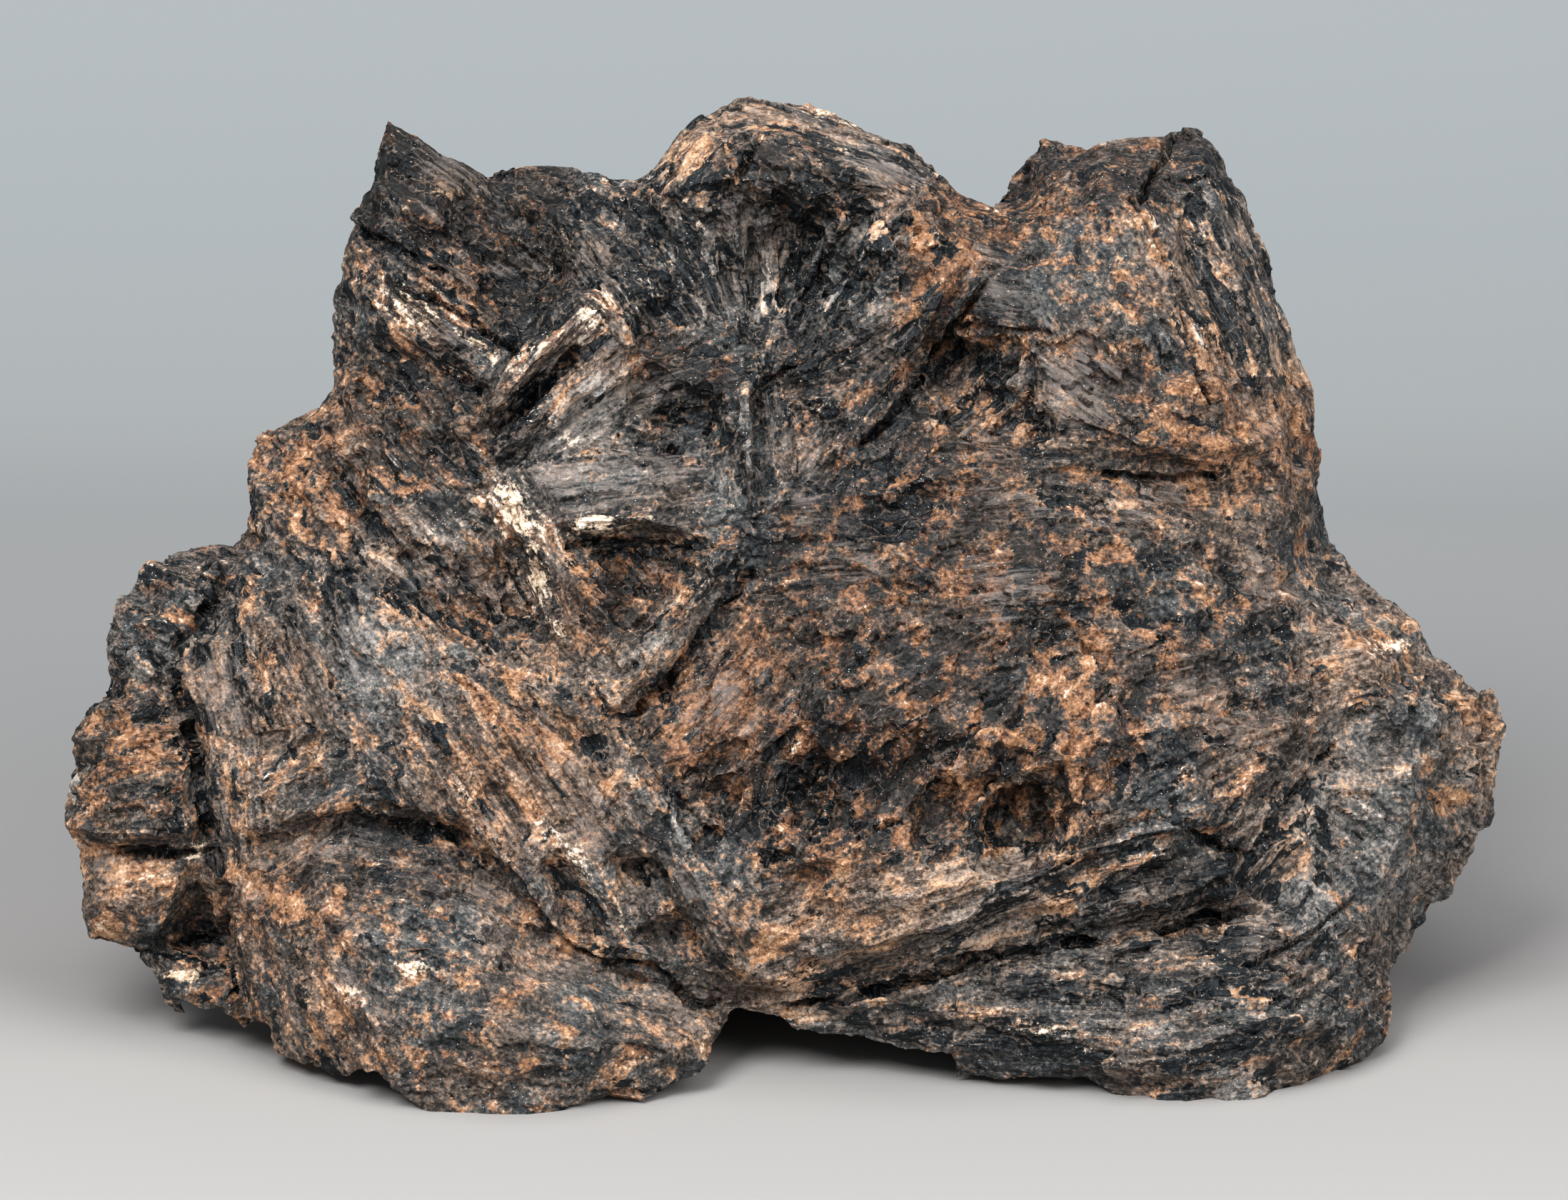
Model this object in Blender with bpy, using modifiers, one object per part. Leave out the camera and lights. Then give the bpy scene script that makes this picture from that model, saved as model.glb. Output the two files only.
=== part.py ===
"""Bannisterite specimen: one broken block of intergrown, bent sheaves of dark brown mica-like folia.

The block stands on three rough feet. Its broad face leans back, so the rim and the relief are laid out on a
datum plane that leans back too, as sighted square to it from two metres away: across, up the plane and proud
of the plane, in mm. The back and the underside are laid out in plain x, y, z, in mm, y running away from the
broad face and z up from the table.

Between its ridges and hollows the stone broke flat, so triangles that keep those lines make its cage. The
cage is remeshed, roughened along the grain of each sheaf, thinned and stood on a flat cut.
"""

import math

import bmesh
import bpy
import numpy as np
from mathutils import Vector, geometry, noise

MM = 0.001
LEAN = math.radians(20.0)
VOXEL = 0.55 * MM
TRIANGLES = 9600
FACE_FAVOUR = 0.02
TABLE_SIZE = 160 * MM
RIM_SWELL = 1.2
RIM_GROWTH = 1.005
SIGHT_DISTANCE = 2000.0
SIGHT_UP = 39.6

# The rim, clockwise from the tip of the left spike: how far each stretch's first and last points stand proud
# of the datum plane, and its points (across, up the plane).
RIM = (
    ("spike", -19, -20, ((-30.7, 77.0), (-28.3, 75.5), (-25.6, 73.8), (-22.6, 71.8))),
    ("saddle", -22, -20, ((-21.0, 72.4), (-19.2, 73.1), (-17.4, 72.3), (-15.3, 72.0), (-13.4, 71.6),
                          (-11.5, 71.4))),
    ("peak flank", -20, -22, ((-10.4, 72.2), (-9.2, 73.6), (-8.3, 75.2), (-7.2, 76.6), (-5.2, 77.4))),
    ("peak", -22, -23, ((-3.2, 78.1), (-0.2, 77.8), (3.4, 76.6), (7.4, 75.2), (9.2, 74.8), (10.6, 73.8),
                        (12.0, 72.3), (13.6, 71.0), (15.0, 70.5))),
    ("back flap", -31, -32, ((16.4, 71.8), (18.4, 73.3), (20.5, 74.7), (21.9, 74.6), (22.2, 73.9))),
    ("head", -29, -27, ((23.6, 74.7), (25.6, 75.1), (27.6, 74.9), (29.6, 75.2), (31.3, 75.8),
                        (33.1, 74.6))),
    ("head flank", -28, -24, ((34.2, 72.2), (35.9, 69.9), (37.1, 67.2), (38.1, 63.6), (39.2, 60.0),
                              (40.2, 56.8), (41.1, 54.7), (40.6, 52.0))),
    ("waist", -24, -25, ((41.1, 49.0), (41.8, 46.4), (42.3, 44.2))),
    ("lobe", -25, -22, ((44.4, 41.5), (46.8, 39.7), (48.6, 37.8), (50.2, 35.4), (52.4, 33.9),
                        (54.1, 32.0), (54.6, 29.4), (54.5, 25.6), (53.7, 22.0), (52.5, 18.2),
                        (50.4, 15.6), (48.4, 12.3))),
    ("toe end", -16, -6, ((47.1, 10.8), (47.5, 8.4), (46.6, 5.6), (44.6, 4.0), (41.6, 3.2), (39.8, 2.2))),
    ("toe sole", -3, -5, ((36.4, 1.3), (33.6, 0.7), (31.0, 0.5), (27.6, 1.3), (24.4, 2.3), (19.4, 3.0),
                          (15.0, 3.5), (12.2, 4.3))),
    ("arch", -7, -7, ((8.4, 5.3), (4.6, 5.8), (1.8, 6.4), (0.0, 7.2), (-3.0, 7.8), (-4.4, 6.6),
                      (-5.1, 5.2))),
    ("boot heel", -4, -2, ((-5.2, 4.0), (-5.9, 2.4), (-9.6, 1.6), (-13.6, 1.3))),
    ("boot sole", 0, -1, ((-17.0, 0.4), (-20.0, -0.4), (-23.4, -0.6), (-26.6, -0.2), (-29.0, 1.4),
                           (-31.8, 3.1))),
    ("boot nub", -4, -5, ((-33.6, 2.7), (-34.9, 3.2))),
    ("boot back", -6, -12, ((-36.8, 4.3), (-38.4, 5.0), (-40.0, 6.4), (-41.4, 6.6), (-42.4, 7.5))),
    ("low block", -15, -16, ((-43.8, 6.7), (-46.2, 7.2), (-48.0, 7.5), (-48.6, 9.8), (-49.1, 11.8))),
    ("mid block", -15, -15, ((-50.2, 12.8), (-52.4, 13.2), (-53.7, 15.0), (-54.1, 17.6), (-54.7, 20.6))),
    ("ledge block", -14, -16, ((-55.5, 22.2), (-55.1, 24.6), (-54.8, 28.8), (-53.5, 31.2),
                               (-52.6, 32.4))),
    ("top block", -17, -22, ((-52.0, 33.6), (-52.5, 35.9), (-52.0, 38.6), (-50.3, 41.1), (-48.7, 43.2),
                             (-46.2, 44.0), (-43.9, 44.1), (-41.9, 43.9))),
    ("left flank", -17, -21, ((-41.2, 46.2), (-41.2, 50.2), (-39.8, 52.8), (-37.4, 53.7), (-35.2, 55.0),
                              (-34.4, 57.2))),
    ("left head", -20, -17, ((-35.0, 60.2), (-34.5, 62.8), (-34.0, 65.6), (-33.6, 68.6))),
    ("spike back", -18, -18, ((-32.6, 70.0), (-31.8, 72.0), (-31.2, 74.4))),
)

# Ridges, hollows and steps of the broad face: (across, up the plane, proud of it). A step is two lines close
# together.
FACE = {
    "spike ridge": ((-30.2, 75.4, -15.6), (-30.6, 73.4, -14.4), (-31.2, 71.2, -14.8)),
    "spike facet": ((-28.0, 74.0, -15.4), (-26.6, 72.6, -14.8)),
    "spike foot": ((-32.4, 69.4, -16.0), (-29.6, 69.8, -13.6), (-26.6, 70.2, -12.6),
                   (-24.0, 71.3, -15.5)),
    "wedge crest": ((-33.0, 68.5, -15.6), (-30.2, 67.6, -12.4), (-27.6, 66.2, -11.0),
                    (-25.0, 64.4, -10.4), (-22.8, 62.0, -10.0), (-20.9, 59.9, -10.2)),
    "wedge step": ((-29.4, 68.2, -14.2), (-26.6, 66.8, -13.6), (-24.2, 65.0, -13.2), (-22.0, 62.6, -13.0),
                   (-20.3, 60.9, -12.8)),
    "wedge body": ((-32.8, 65.0, -14.2), (-30.0, 62.6, -11.0), (-26.4, 61.4, -9.8), (-23.6, 59.0, -9.6)),
    "wedge keel": ((-32.8, 60.6, -14.6), (-30.6, 59.9, -11.6), (-27.0, 58.9, -10.0), (-23.8, 57.6, -9.4)),
    "wedge foot": ((-31.4, 59.0, -13.6), (-28.0, 57.6, -12.6), (-25.0, 56.4, -11.8),
                   (-23.0, 55.9, -11.4)),
    "speckled hollow": ((-24.6, 68.6, -15.2), (-21.6, 66.0, -15.2), (-20.0, 63.4, -14.2)),
    "saddle edge": ((-21.6, 71.0, -19.0), (-19.4, 71.4, -19.5), (-17.4, 71.0, -18.5)),
    "grey rib": ((-18.2, 70.0, -15.4), (-17.3, 68.0, -12.4), (-16.4, 65.8, -11.2), (-15.8, 64.4, -10.4)),
    "grey rib foot": ((-18.9, 68.2, -15.2), (-17.9, 65.8, -14.4), (-17.1, 64.3, -12.8)),
    "slats top": ((-15.2, 71.0, -18.5), (-12.6, 70.6, -17.5), (-10.6, 70.4, -16.5)),
    "slats": ((-14.2, 68.0, -13.2), (-11.0, 67.2, -13.8)),
    "slats low": ((-13.2, 63.6, -10.2), (-10.0, 63.8, -11.2), (-7.2, 62.6, -12.0)),
    "slats edge": ((-9.4, 69.4, -13.0), (-8.2, 66.8, -13.2), (-6.4, 64.2, -12.8), (-5.4, 61.6, -12.4)),
    "peak brow": ((-10.2, 71.5, -16.0), (-8.2, 73.2, -14.0), (-6.2, 75.2, -14.0), (-2.6, 75.0, -11.8),
                  (1.6, 74.4, -11.2), (5.6, 73.4, -11.2), (9.4, 72.0, -13.0), (11.6, 71.0, -14.5)),
    "peak front": ((-7.6, 71.4, -11.4), (-4.4, 72.2, -10.4), (0.0, 72.0, -10.2), (4.6, 71.4, -9.8),
                   (9.0, 70.4, -9.8)),
    "fan left": ((-6.4, 69.0, -12.6), (-4.0, 65.6, -15.4), (-3.2, 62.0, -15.4)),
    "fan deep": ((1.4, 68.6, -14.8), (1.0, 65.4, -16.6), (-0.4, 62.0, -16.0), (-1.2, 59.6, -13.2)),
    "fan right": ((5.4, 68.4, -13.0), (4.6, 64.4, -14.2), (2.6, 60.6, -13.0)),
    "fan rim": ((8.6, 68.6, -9.6), (8.2, 65.0, -9.2), (6.6, 61.4, -9.0), (3.8, 58.4, -8.8),
                (1.0, 57.6, -9.2)),
    "keel": ((-0.9, 57.8, -9.6), (-2.3, 56.4, -7.4), (-3.1, 54.4, -6.2), (-3.1, 52.0, -5.6),
             (-2.6, 49.6, -5.2), (-2.4, 47.4, -5.4)),
    "keel foot": ((-0.6, 56.4, -10.0), (-1.7, 54.8, -9.6), (-2.0, 52.4, -9.0), (-1.6, 50.0, -7.8)),
    "orange cheek": ((11.4, 68.6, -9.4), (12.6, 66.0, -8.6), (10.6, 63.4, -8.8)),
    "diagonal rib": ((13.6, 63.8, -8.8), (11.0, 60.6, -8.0), (8.4, 57.0, -7.4), (5.9, 53.2, -6.8)),
    "diagonal foot": ((12.0, 60.2, -10.8), (9.6, 56.8, -10.2), (7.0, 53.2, -8.6)),
    "cheek pit": ((12.8, 58.0, -12.2), (14.2, 56.4, -12.8), (16.0, 57.8, -11.6)),
    "cheek brow": ((14.4, 61.2, -9.2), (17.0, 61.0, -8.4), (19.6, 60.6, -8.2)),
    "pale patch": ((15.6, 64.2, -9.2), (18.4, 64.8, -9.4), (20.4, 62.8, -8.8)),
    "notch lip": ((13.4, 69.6, -15.0), (15.4, 69.2, -14.4), (17.2, 68.8, -13.8), (19.2, 69.2, -14.6)),
    "notch floor": ((16.2, 70.4, -27.0), (17.8, 70.5, -28.0), (19.0, 71.4, -28.0)),
    "head left edge": ((20.3, 73.0, -20.0), (20.2, 71.2, -17.0), (20.5, 69.6, -14.2),
                       (20.9, 68.2, -12.4)),
    "head brow": ((22.2, 72.8, -17.5), (24.6, 72.9, -15.8), (26.4, 71.4, -13.8)),
    "head": ((24.2, 69.2, -11.6), (22.0, 66.6, -10.0)),
    "head arris": ((27.4, 70.2, -12.8), (28.6, 67.8, -11.6), (30.0, 64.6, -10.8), (31.0, 61.0, -10.2),
                   (32.2, 57.0, -10.0), (34.0, 53.8, -10.6), (36.2, 51.6, -12.0)),
    "head side": ((30.6, 70.0, -18.2), (31.8, 66.4, -16.4), (33.2, 62.0, -14.8), (34.6, 58.0, -14.4)),
    "head back edge": ((29.2, 73.4, -21.0), (32.4, 73.0, -20.0), (33.6, 70.2, -18.2), (34.6, 66.4, -17.2),
                       (36.0, 62.0, -16.4), (37.2, 57.8, -16.6), (38.4, 54.0, -17.4)),
    "head front": ((24.6, 63.0, -8.6), (26.6, 58.6, -7.8), (28.0, 54.6, -7.8)),
    "waist ledge": ((17.2, 49.4, -6.0), (20.6, 51.6, -6.0), (25.6, 51.6, -6.4), (30.4, 51.2, -7.4),
                    (33.6, 50.2, -9.2)),
    "waist under": ((19.2, 47.8, -7.0), (24.4, 49.2, -8.4), (29.0, 49.0, -9.2), (33.0, 48.2, -10.6)),
    "waist right": ((38.6, 50.0, -15.4), (38.4, 46.0, -13.6)),
    "cheek low": ((2.6, 50.0, -7.0), (6.6, 49.8, -6.4), (11.6, 50.8, -7.4), (15.0, 53.0, -8.6)),
    "main high": ((5.4, 44.6, -4.8), (12.0, 43.6, -4.2), (19.4, 42.6, -4.0), (26.6, 42.0, -5.4),
                  (33.6, 41.4, -8.2), (38.4, 40.6, -12.0)),
    "main crown": ((0.6, 42.0, -4.8), (4.8, 38.6, -2.6), (10.6, 35.8, -1.4), (17.0, 34.0, -1.4),
                   (24.0, 33.4, -2.6), (31.0, 33.6, -5.0), (36.6, 34.0, -8.2)),
    "main low": ((-2.4, 29.4, -2.4), (3.6, 30.2, -0.6), (10.0, 29.4, 0.2), (16.6, 28.6, 0.2),
                 (23.6, 27.4, -0.6), (30.0, 27.6, -2.6), (35.0, 29.0, -5.8)),
    "dark pit": ((0.2, 26.6, -1.8), (2.6, 24.4, -2.8), (5.4, 24.0, -2.0)),
    "deep pit": ((16.6, 24.8, -1.4), (18.2, 22.6, -4.0), (17.0, 20.4, -2.4)),
    "twin pit": ((10.8, 25.6, -1.2), (12.0, 23.2, -1.4)),
    "left pit": ((-5.4, 25.0, -3.2), (-4.8, 22.2, -2.8)),
    "main brow": ((-1.6, 19.8, -0.8), (4.4, 19.6, 1.0), (9.6, 20.4, 1.4), (13.2, 20.4, 1.0)),
    "main edge": ((1.6, 11.8, -2.2), (6.4, 12.8, -0.4), (11.8, 14.6, 0.6), (17.4, 17.0, 0.6),
                  (22.6, 19.6, 0.0), (28.2, 20.9, -1.4), (33.4, 22.6, -3.2), (37.0, 25.8, -5.6),
                  (39.8, 28.8, -8.4), (42.0, 31.6, -11.4)),
    "lobe valley": ((38.8, 23.6, -9.8), (40.6, 25.6, -11.8), (42.4, 27.6, -13.0), (43.8, 30.6, -13.6)),
    "lobe crest": ((41.6, 38.2, -14.4), (44.6, 35.6, -13.0), (47.0, 31.6, -12.4), (48.6, 27.0, -12.8),
                   (48.2, 22.6, -13.4), (46.2, 18.0, -13.0)),
    "lobe shoulder": ((51.2, 31.8, -17.8), (51.8, 27.2, -18.0), (50.6, 21.8, -18.2), (48.8, 17.6, -17.8)),
    "lobe inner": ((43.2, 23.4, -12.6), (42.6, 19.4, -11.2), (42.8, 15.6, -10.6)),
    "groove": ((4.6, 10.0, -5.4), (9.6, 10.9, -5.0), (15.6, 12.4, -4.8), (21.6, 13.5, -5.4),
               (26.4, 14.4, -6.2)),
    "hollow": ((29.6, 14.6, -7.6), (32.6, 15.2, -8.8), (35.0, 16.2, -8.6)),
    "hollow lip": ((21.0, 15.2, -2.8), (26.4, 16.0, -3.0), (31.0, 16.9, -3.8), (34.4, 18.4, -5.0),
                   (36.8, 21.2, -6.8)),
    "shaded fan": ((25.0, 18.2, -3.6), (30.6, 19.0, -4.8), (34.6, 20.6, -6.0)),
    "toe crest": ((1.0, 8.8, -5.4), (7.4, 8.6, -4.2), (14.0, 9.2, -3.0), (21.0, 10.0, -2.6),
                  (28.0, 10.8, -3.0), (34.6, 11.6, -4.6), (40.0, 12.4, -7.6), (44.6, 12.6, -11.2)),
    "toe belly": ((8.6, 6.8, -5.0), (15.0, 6.4, -3.2), (22.0, 6.0, -1.6), (29.6, 5.4, -0.6),
                  (36.6, 5.8, -1.4), (41.6, 7.0, -4.2), (44.8, 8.6, -8.2)),
    "toe sole": ((20.0, 4.4, -3.0), (28.4, 3.0, -1.2), (35.0, 3.2, -1.6), (40.6, 4.6, -4.2)),
    "arch lip": ((-3.4, 9.0, -6.4), (-0.8, 8.4, -6.2)),
    "pale streak": ((-19.0, 23.4, -4.0), (-17.0, 20.8, -2.4), (-15.0, 18.6, -1.8), (-13.6, 16.4, -1.8),
                    (-12.0, 13.8, -2.8)),
    "streak gully": ((-18.0, 18.4, -4.6), (-16.2, 15.8, -5.2), (-13.8, 13.2, -5.0)),
    "grey blade": ((-9.6, 21.6, -1.4), (-7.6, 18.0, -0.8), (-5.4, 14.4, -1.4), (-3.4, 11.4, -3.4)),
    "blade gully": ((-11.0, 18.6, -3.6), (-9.4, 15.4, -4.0), (-7.4, 12.4, -4.8)),
    "flow lip": ((-26.4, 28.4, -3.8), (-25.2, 25.2, -3.0), (-24.2, 22.4, -2.6), (-22.2, 20.1, -2.2),
                 (-20.0, 18.2, -2.2), (-18.5, 15.6, -2.4), (-16.2, 13.3, -3.0), (-12.6, 11.9, -4.0),
                 (-8.6, 10.9, -5.0)),
    "boot valley": ((-42.4, 20.2, -10.2), (-38.4, 21.2, -8.2), (-34.2, 22.1, -7.2), (-30.4, 22.3, -7.0),
                    (-27.6, 21.7, -7.2), (-25.0, 20.9, -6.8), (-23.0, 18.9, -6.2), (-21.0, 17.2, -5.8),
                    (-19.5, 14.6, -5.6), (-17.0, 12.2, -5.8), (-13.0, 10.7, -6.2), (-8.8, 9.8, -6.6),
                    (-5.6, 8.9, -6.8)),
    "mid lip": ((-42.6, 21.8, -9.0), (-38.6, 22.6, -6.0), (-34.4, 23.5, -4.4), (-30.6, 24.0, -3.4),
                (-27.4, 23.2, -3.0)),
    "boot top": ((-40.0, 18.8, -7.2), (-35.6, 19.0, -4.6), (-31.0, 19.0, -3.8), (-26.6, 18.0, -3.2),
                 (-23.0, 15.4, -2.6)),
    "boot ridge": ((-39.6, 15.8, -6.0), (-36.4, 14.6, -3.2), (-32.4, 12.6, -1.0), (-28.6, 10.2, 0.8),
                   (-25.0, 7.8, 2.2), (-20.6, 6.2, 2.8), (-15.0, 5.6, 1.8), (-10.0, 5.4, -0.6),
                   (-6.8, 5.4, -3.0)),
    "boot instep": ((-27.4, 14.0, -0.8), (-22.0, 11.0, 0.2), (-16.0, 9.2, -1.0), (-10.6, 8.0, -3.4)),
    "boot side": ((-42.2, 16.6, -10.0), (-41.8, 12.4, -9.0), (-40.6, 8.8, -8.4)),
    "boot flank": ((-38.4, 12.0, -4.6), (-37.4, 8.6, -4.4), (-33.6, 7.8, -2.0), (-29.4, 5.8, 0.2)),
    "boot toe": ((-27.6, 2.8, 0.2), (-23.0, 2.4, 1.4), (-18.0, 2.6, 1.0), (-12.0, 3.2, -0.8)),
    "slab edge": ((-47.2, 35.0, -12.4), (-45.6, 31.6, -11.0), (-44.8, 28.0, -10.2), (-44.2, 24.0, -10.0)),
    "cleft": ((-46.7, 33.0, -15.4), (-45.9, 30.0, -15.2), (-45.4, 26.0, -15.0), (-44.8, 22.6, -14.4)),
    "ledge edge": ((-47.6, 32.2, -12.8), (-46.6, 29.4, -12.0), (-46.2, 25.8, -11.6),
                   (-46.0, 23.0, -11.4)),
    "ledge lip": ((-54.2, 21.8, -12.2), (-50.6, 21.2, -10.6), (-47.6, 21.2, -10.0), (-45.8, 21.4, -11.0)),
    "ledge under": ((-53.8, 20.4, -14.2), (-50.4, 19.9, -13.8), (-47.4, 19.8, -13.4),
                    (-45.2, 19.8, -13.4)),
    "ledge face": ((-53.0, 27.6, -12.6), (-50.2, 26.6, -10.4), (-48.2, 25.6, -10.2)),
    "ledge top": ((-52.2, 31.0, -14.4), (-49.6, 31.2, -12.6)),
    "mid face": ((-52.6, 17.2, -12.6), (-49.6, 17.4, -11.0), (-46.8, 18.0, -11.2)),
    "mid foot": ((-51.6, 14.4, -13.2), (-48.6, 14.0, -12.4), (-47.2, 15.4, -12.4)),
    "cave": ((-46.4, 15.0, -17.6), (-44.8, 16.4, -16.6), (-44.2, 13.8, -18.4), (-46.2, 13.2, -18.2)),
    "low top": ((-48.0, 12.2, -14.6), (-45.4, 12.0, -14.2), (-43.6, 11.6, -15.2)),
    "low face": ((-47.4, 9.6, -13.6), (-44.8, 9.2, -13.2), (-43.4, 9.4, -14.8)),
    "top crest": ((-50.6, 38.6, -16.0), (-48.0, 40.4, -16.0), (-45.2, 41.4, -16.4)),
    "top face": ((-50.6, 35.4, -14.8), (-48.6, 37.2, -13.8), (-46.4, 38.6, -14.2)),
    "top crack": ((-42.6, 42.4, -15.6), (-43.7, 40.4, -15.6), (-45.0, 38.0, -15.0), (-46.8, 36.4, -14.4)),
    "slab": ((-40.0, 43.4, -13.4), (-41.4, 40.2, -11.4), (-42.4, 36.6, -10.2), (-42.0, 31.0, -9.2),
             (-41.2, 26.4, -8.8)),
    "slab rib": ((-38.2, 42.4, -11.0), (-37.6, 39.0, -8.4), (-36.9, 36.0, -6.6), (-35.9, 33.2, -5.8),
                 (-35.0, 31.4, -5.8)),
    "slab rib foot": ((-36.4, 39.2, -9.4), (-35.8, 36.2, -8.8), (-34.9, 33.6, -8.0)),
    "slab low": ((-38.6, 29.0, -8.0), (-36.4, 27.4, -6.8), (-32.6, 27.2, -5.0)),
    "slab right": ((-32.6, 36.4, -6.8), (-31.0, 32.8, -6.0), (-29.0, 30.0, -5.0)),
    "shoulder facet": ((-37.2, 52.2, -16.6), (-36.6, 49.6, -13.0), (-37.8, 46.0, -11.6)),
    "shoulder": ((-33.6, 55.4, -14.4), (-32.2, 51.6, -10.6), (-31.0, 47.6, -8.8), (-31.4, 43.4, -8.4)),
    "shoulder inner": ((-28.4, 53.4, -10.8), (-27.0, 49.4, -9.6)),
    "strap top": ((-25.6, 53.2, -10.0), (-22.4, 56.1, -8.6), (-19.6, 59.1, -8.0), (-16.4, 62.9, -9.2)),
    "strap crest": ((-24.6, 51.9, -8.6), (-21.2, 55.4, -6.8), (-17.6, 59.0, -6.4), (-14.2, 61.6, -8.0)),
    "strap groove": ((-22.6, 52.4, -9.6), (-19.8, 55.1, -11.2), (-17.0, 57.6, -11.0),
                     (-13.8, 60.0, -9.8)),
    "strap low": ((-22.4, 51.1, -7.6), (-18.6, 53.7, -7.2), (-15.2, 56.6, -7.2), (-12.2, 60.2, -8.4)),
    "strap foot": ((-24.2, 49.7, -9.2), (-19.6, 51.0, -9.6), (-15.6, 53.4, -9.6), (-12.8, 56.4, -9.4),
                   (-10.8, 59.6, -10.2)),
    "inner face": ((-8.4, 58.0, -9.8), (-7.0, 55.8, -8.8)),
    "inner pit": ((-8.0, 53.6, -11.0), (-6.0, 53.2, -10.6)),
    "inner low": ((-10.6, 50.6, -8.6), (-6.0, 50.2, -7.4)),
    "pale arm": ((-24.4, 48.2, -8.4), (-20.0, 48.8, -7.4), (-14.6, 47.8, -6.6), (-9.8, 47.8, -6.0),
                 (-5.6, 47.6, -5.6)),
    "pale arm low": ((-18.2, 45.3, -5.8), (-14.6, 45.3, -5.0), (-11.2, 45.8, -4.8), (-7.4, 44.9, -5.0)),
    "arm shadow": ((-16.0, 43.6, -8.0), (-12.2, 43.7, -8.4), (-8.4, 43.2, -7.8)),
    "pale rib": ((-22.6, 46.8, -6.2), (-20.4, 44.4, -4.8), (-18.7, 42.0, -4.2), (-17.7, 39.6, -4.0),
                 (-17.5, 37.2, -4.8)),
    "rib pits": ((-21.8, 42.4, -7.8), (-20.8, 40.2, -8.4), (-19.9, 37.4, -8.2)),
    "outer pits": ((-25.4, 44.2, -7.8), (-26.0, 41.4, -8.0), (-23.8, 39.4, -7.8)),
    "second rib": ((-16.0, 42.2, -5.8), (-14.5, 39.6, -4.8), (-12.8, 36.8, -3.8)),
    "pit between": ((-16.7, 40.6, -6.8), (-15.5, 37.4, -7.0), (-15.9, 35.2, -5.8)),
    "pit right": ((-12.8, 41.8, -8.6), (-10.0, 41.0, -8.2), (-11.2, 38.4, -7.0)),
    "blade": ((-4.6, 43.6, -4.2), (-6.4, 40.2, -2.8), (-8.6, 37.0, -2.0), (-11.0, 33.7, -1.4),
              (-13.6, 31.0, -2.0)),
    "blade foot": ((-2.8, 42.0, -5.8), (-4.6, 38.6, -6.0), (-6.6, 35.6, -5.6), (-9.2, 32.4, -4.8),
                   (-11.8, 30.0, -4.2)),
    "flow": ((-25.4, 36.4, -6.4), (-22.0, 34.0, -5.2), (-18.4, 32.4, -3.8), (-16.0, 33.2, -4.0)),
    "flow low": ((-21.6, 29.4, -4.0), (-18.2, 26.8, -3.0), (-14.4, 25.6, -2.2), (-10.0, 26.4, -1.6),
                 (-7.0, 28.0, -2.2)),
}

# Lines of the back and the underside: (x, y behind the foot of the broad face, z above the table).
BACK = {
    "left foot": ((-27.5, 8.0, -1.0), (-21.5, 5.6, -1.0), (-15.5, 8.6, -1.0), (-20.0, 13.0, -1.0),
                  (-26.0, 12.4, -1.0)),
    "right foot": ((26.0, 12.4, -1.0), (31.5, 9.4, -1.0), (37.5, 12.0, -1.0), (34.0, 16.6, -1.0),
                   (28.0, 17.0, -1.0)),
    "rear foot": ((-8.0, 47.0, -1.0), (1.0, 43.6, -1.0), (11.0, 46.0, -1.0), (8.0, 51.0, -1.0),
                  (-3.0, 51.6, -1.0)),
    "arch roof": ((-5.0, 17.0, 5.6), (3.0, 21.0, 6.4), (12.0, 16.0, 4.6)),
    "left hollow": ((-38.0, 24.0, 5.0), (-32.0, 22.0, 3.4), (-22.0, 27.0, 3.2), (-10.0, 33.0, 3.4)),
    "right hollow": ((12.0, 33.0, 3.4), (24.0, 26.0, 3.2), (36.0, 22.0, 4.0), (42.0, 27.0, 7.4)),
    "heel": ((-44.0, 33.0, 6.4), (-34.0, 42.0, 5.0), (-20.0, 50.4, 3.0), (-9.0, 55.0, 3.2),
             (4.0, 57.0, 2.6), (16.0, 55.0, 3.2), (28.0, 50.0, 5.0), (38.0, 43.6, 8.0),
             (46.0, 38.6, 12.0)),
    "back belly": ((-49.0, 34.0, 20.0), (-40.0, 45.0, 18.0), (-27.0, 53.0, 21.0), (-13.0, 61.0, 19.0),
                   (3.0, 62.4, 23.0), (18.0, 62.0, 19.0), (31.0, 56.0, 22.0), (42.0, 50.0, 21.0),
                   (49.0, 44.0, 22.0)),
    "back step": ((-24.0, 56.0, 30.0), (-10.0, 58.6, 33.0), (4.0, 59.4, 30.0), (18.0, 61.6, 34.0),
                  (30.0, 58.0, 31.0)),
    "back left": ((-45.0, 38.0, 27.0), (-37.0, 45.6, 34.0), (-31.0, 50.6, 43.0)),
    "back shelf": ((-23.0, 52.0, 43.0), (-9.0, 56.0, 47.0), (6.0, 54.0, 45.0), (19.0, 59.0, 49.0),
                   (30.0, 57.0, 46.0), (37.0, 51.0, 37.0)),
    "back ribs left": ((-29.9, 47.6, 62.2), (-28.8, 49.5, 58.5), (-29.0, 51.0, 52.0)),
    "back saddle": ((-20.0, 50.0, 55.0), (-13.0, 49.6, 56.0)),
    "back peak": ((-4.0, 52.0, 61.0), (4.0, 52.6, 58.4), (10.0, 51.4, 55.6)),
    "back head": ((19.0, 57.0, 56.0), (27.0, 56.6, 57.0), (32.0, 54.4, 55.0), (35.0, 53.0, 47.0)),
}

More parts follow.
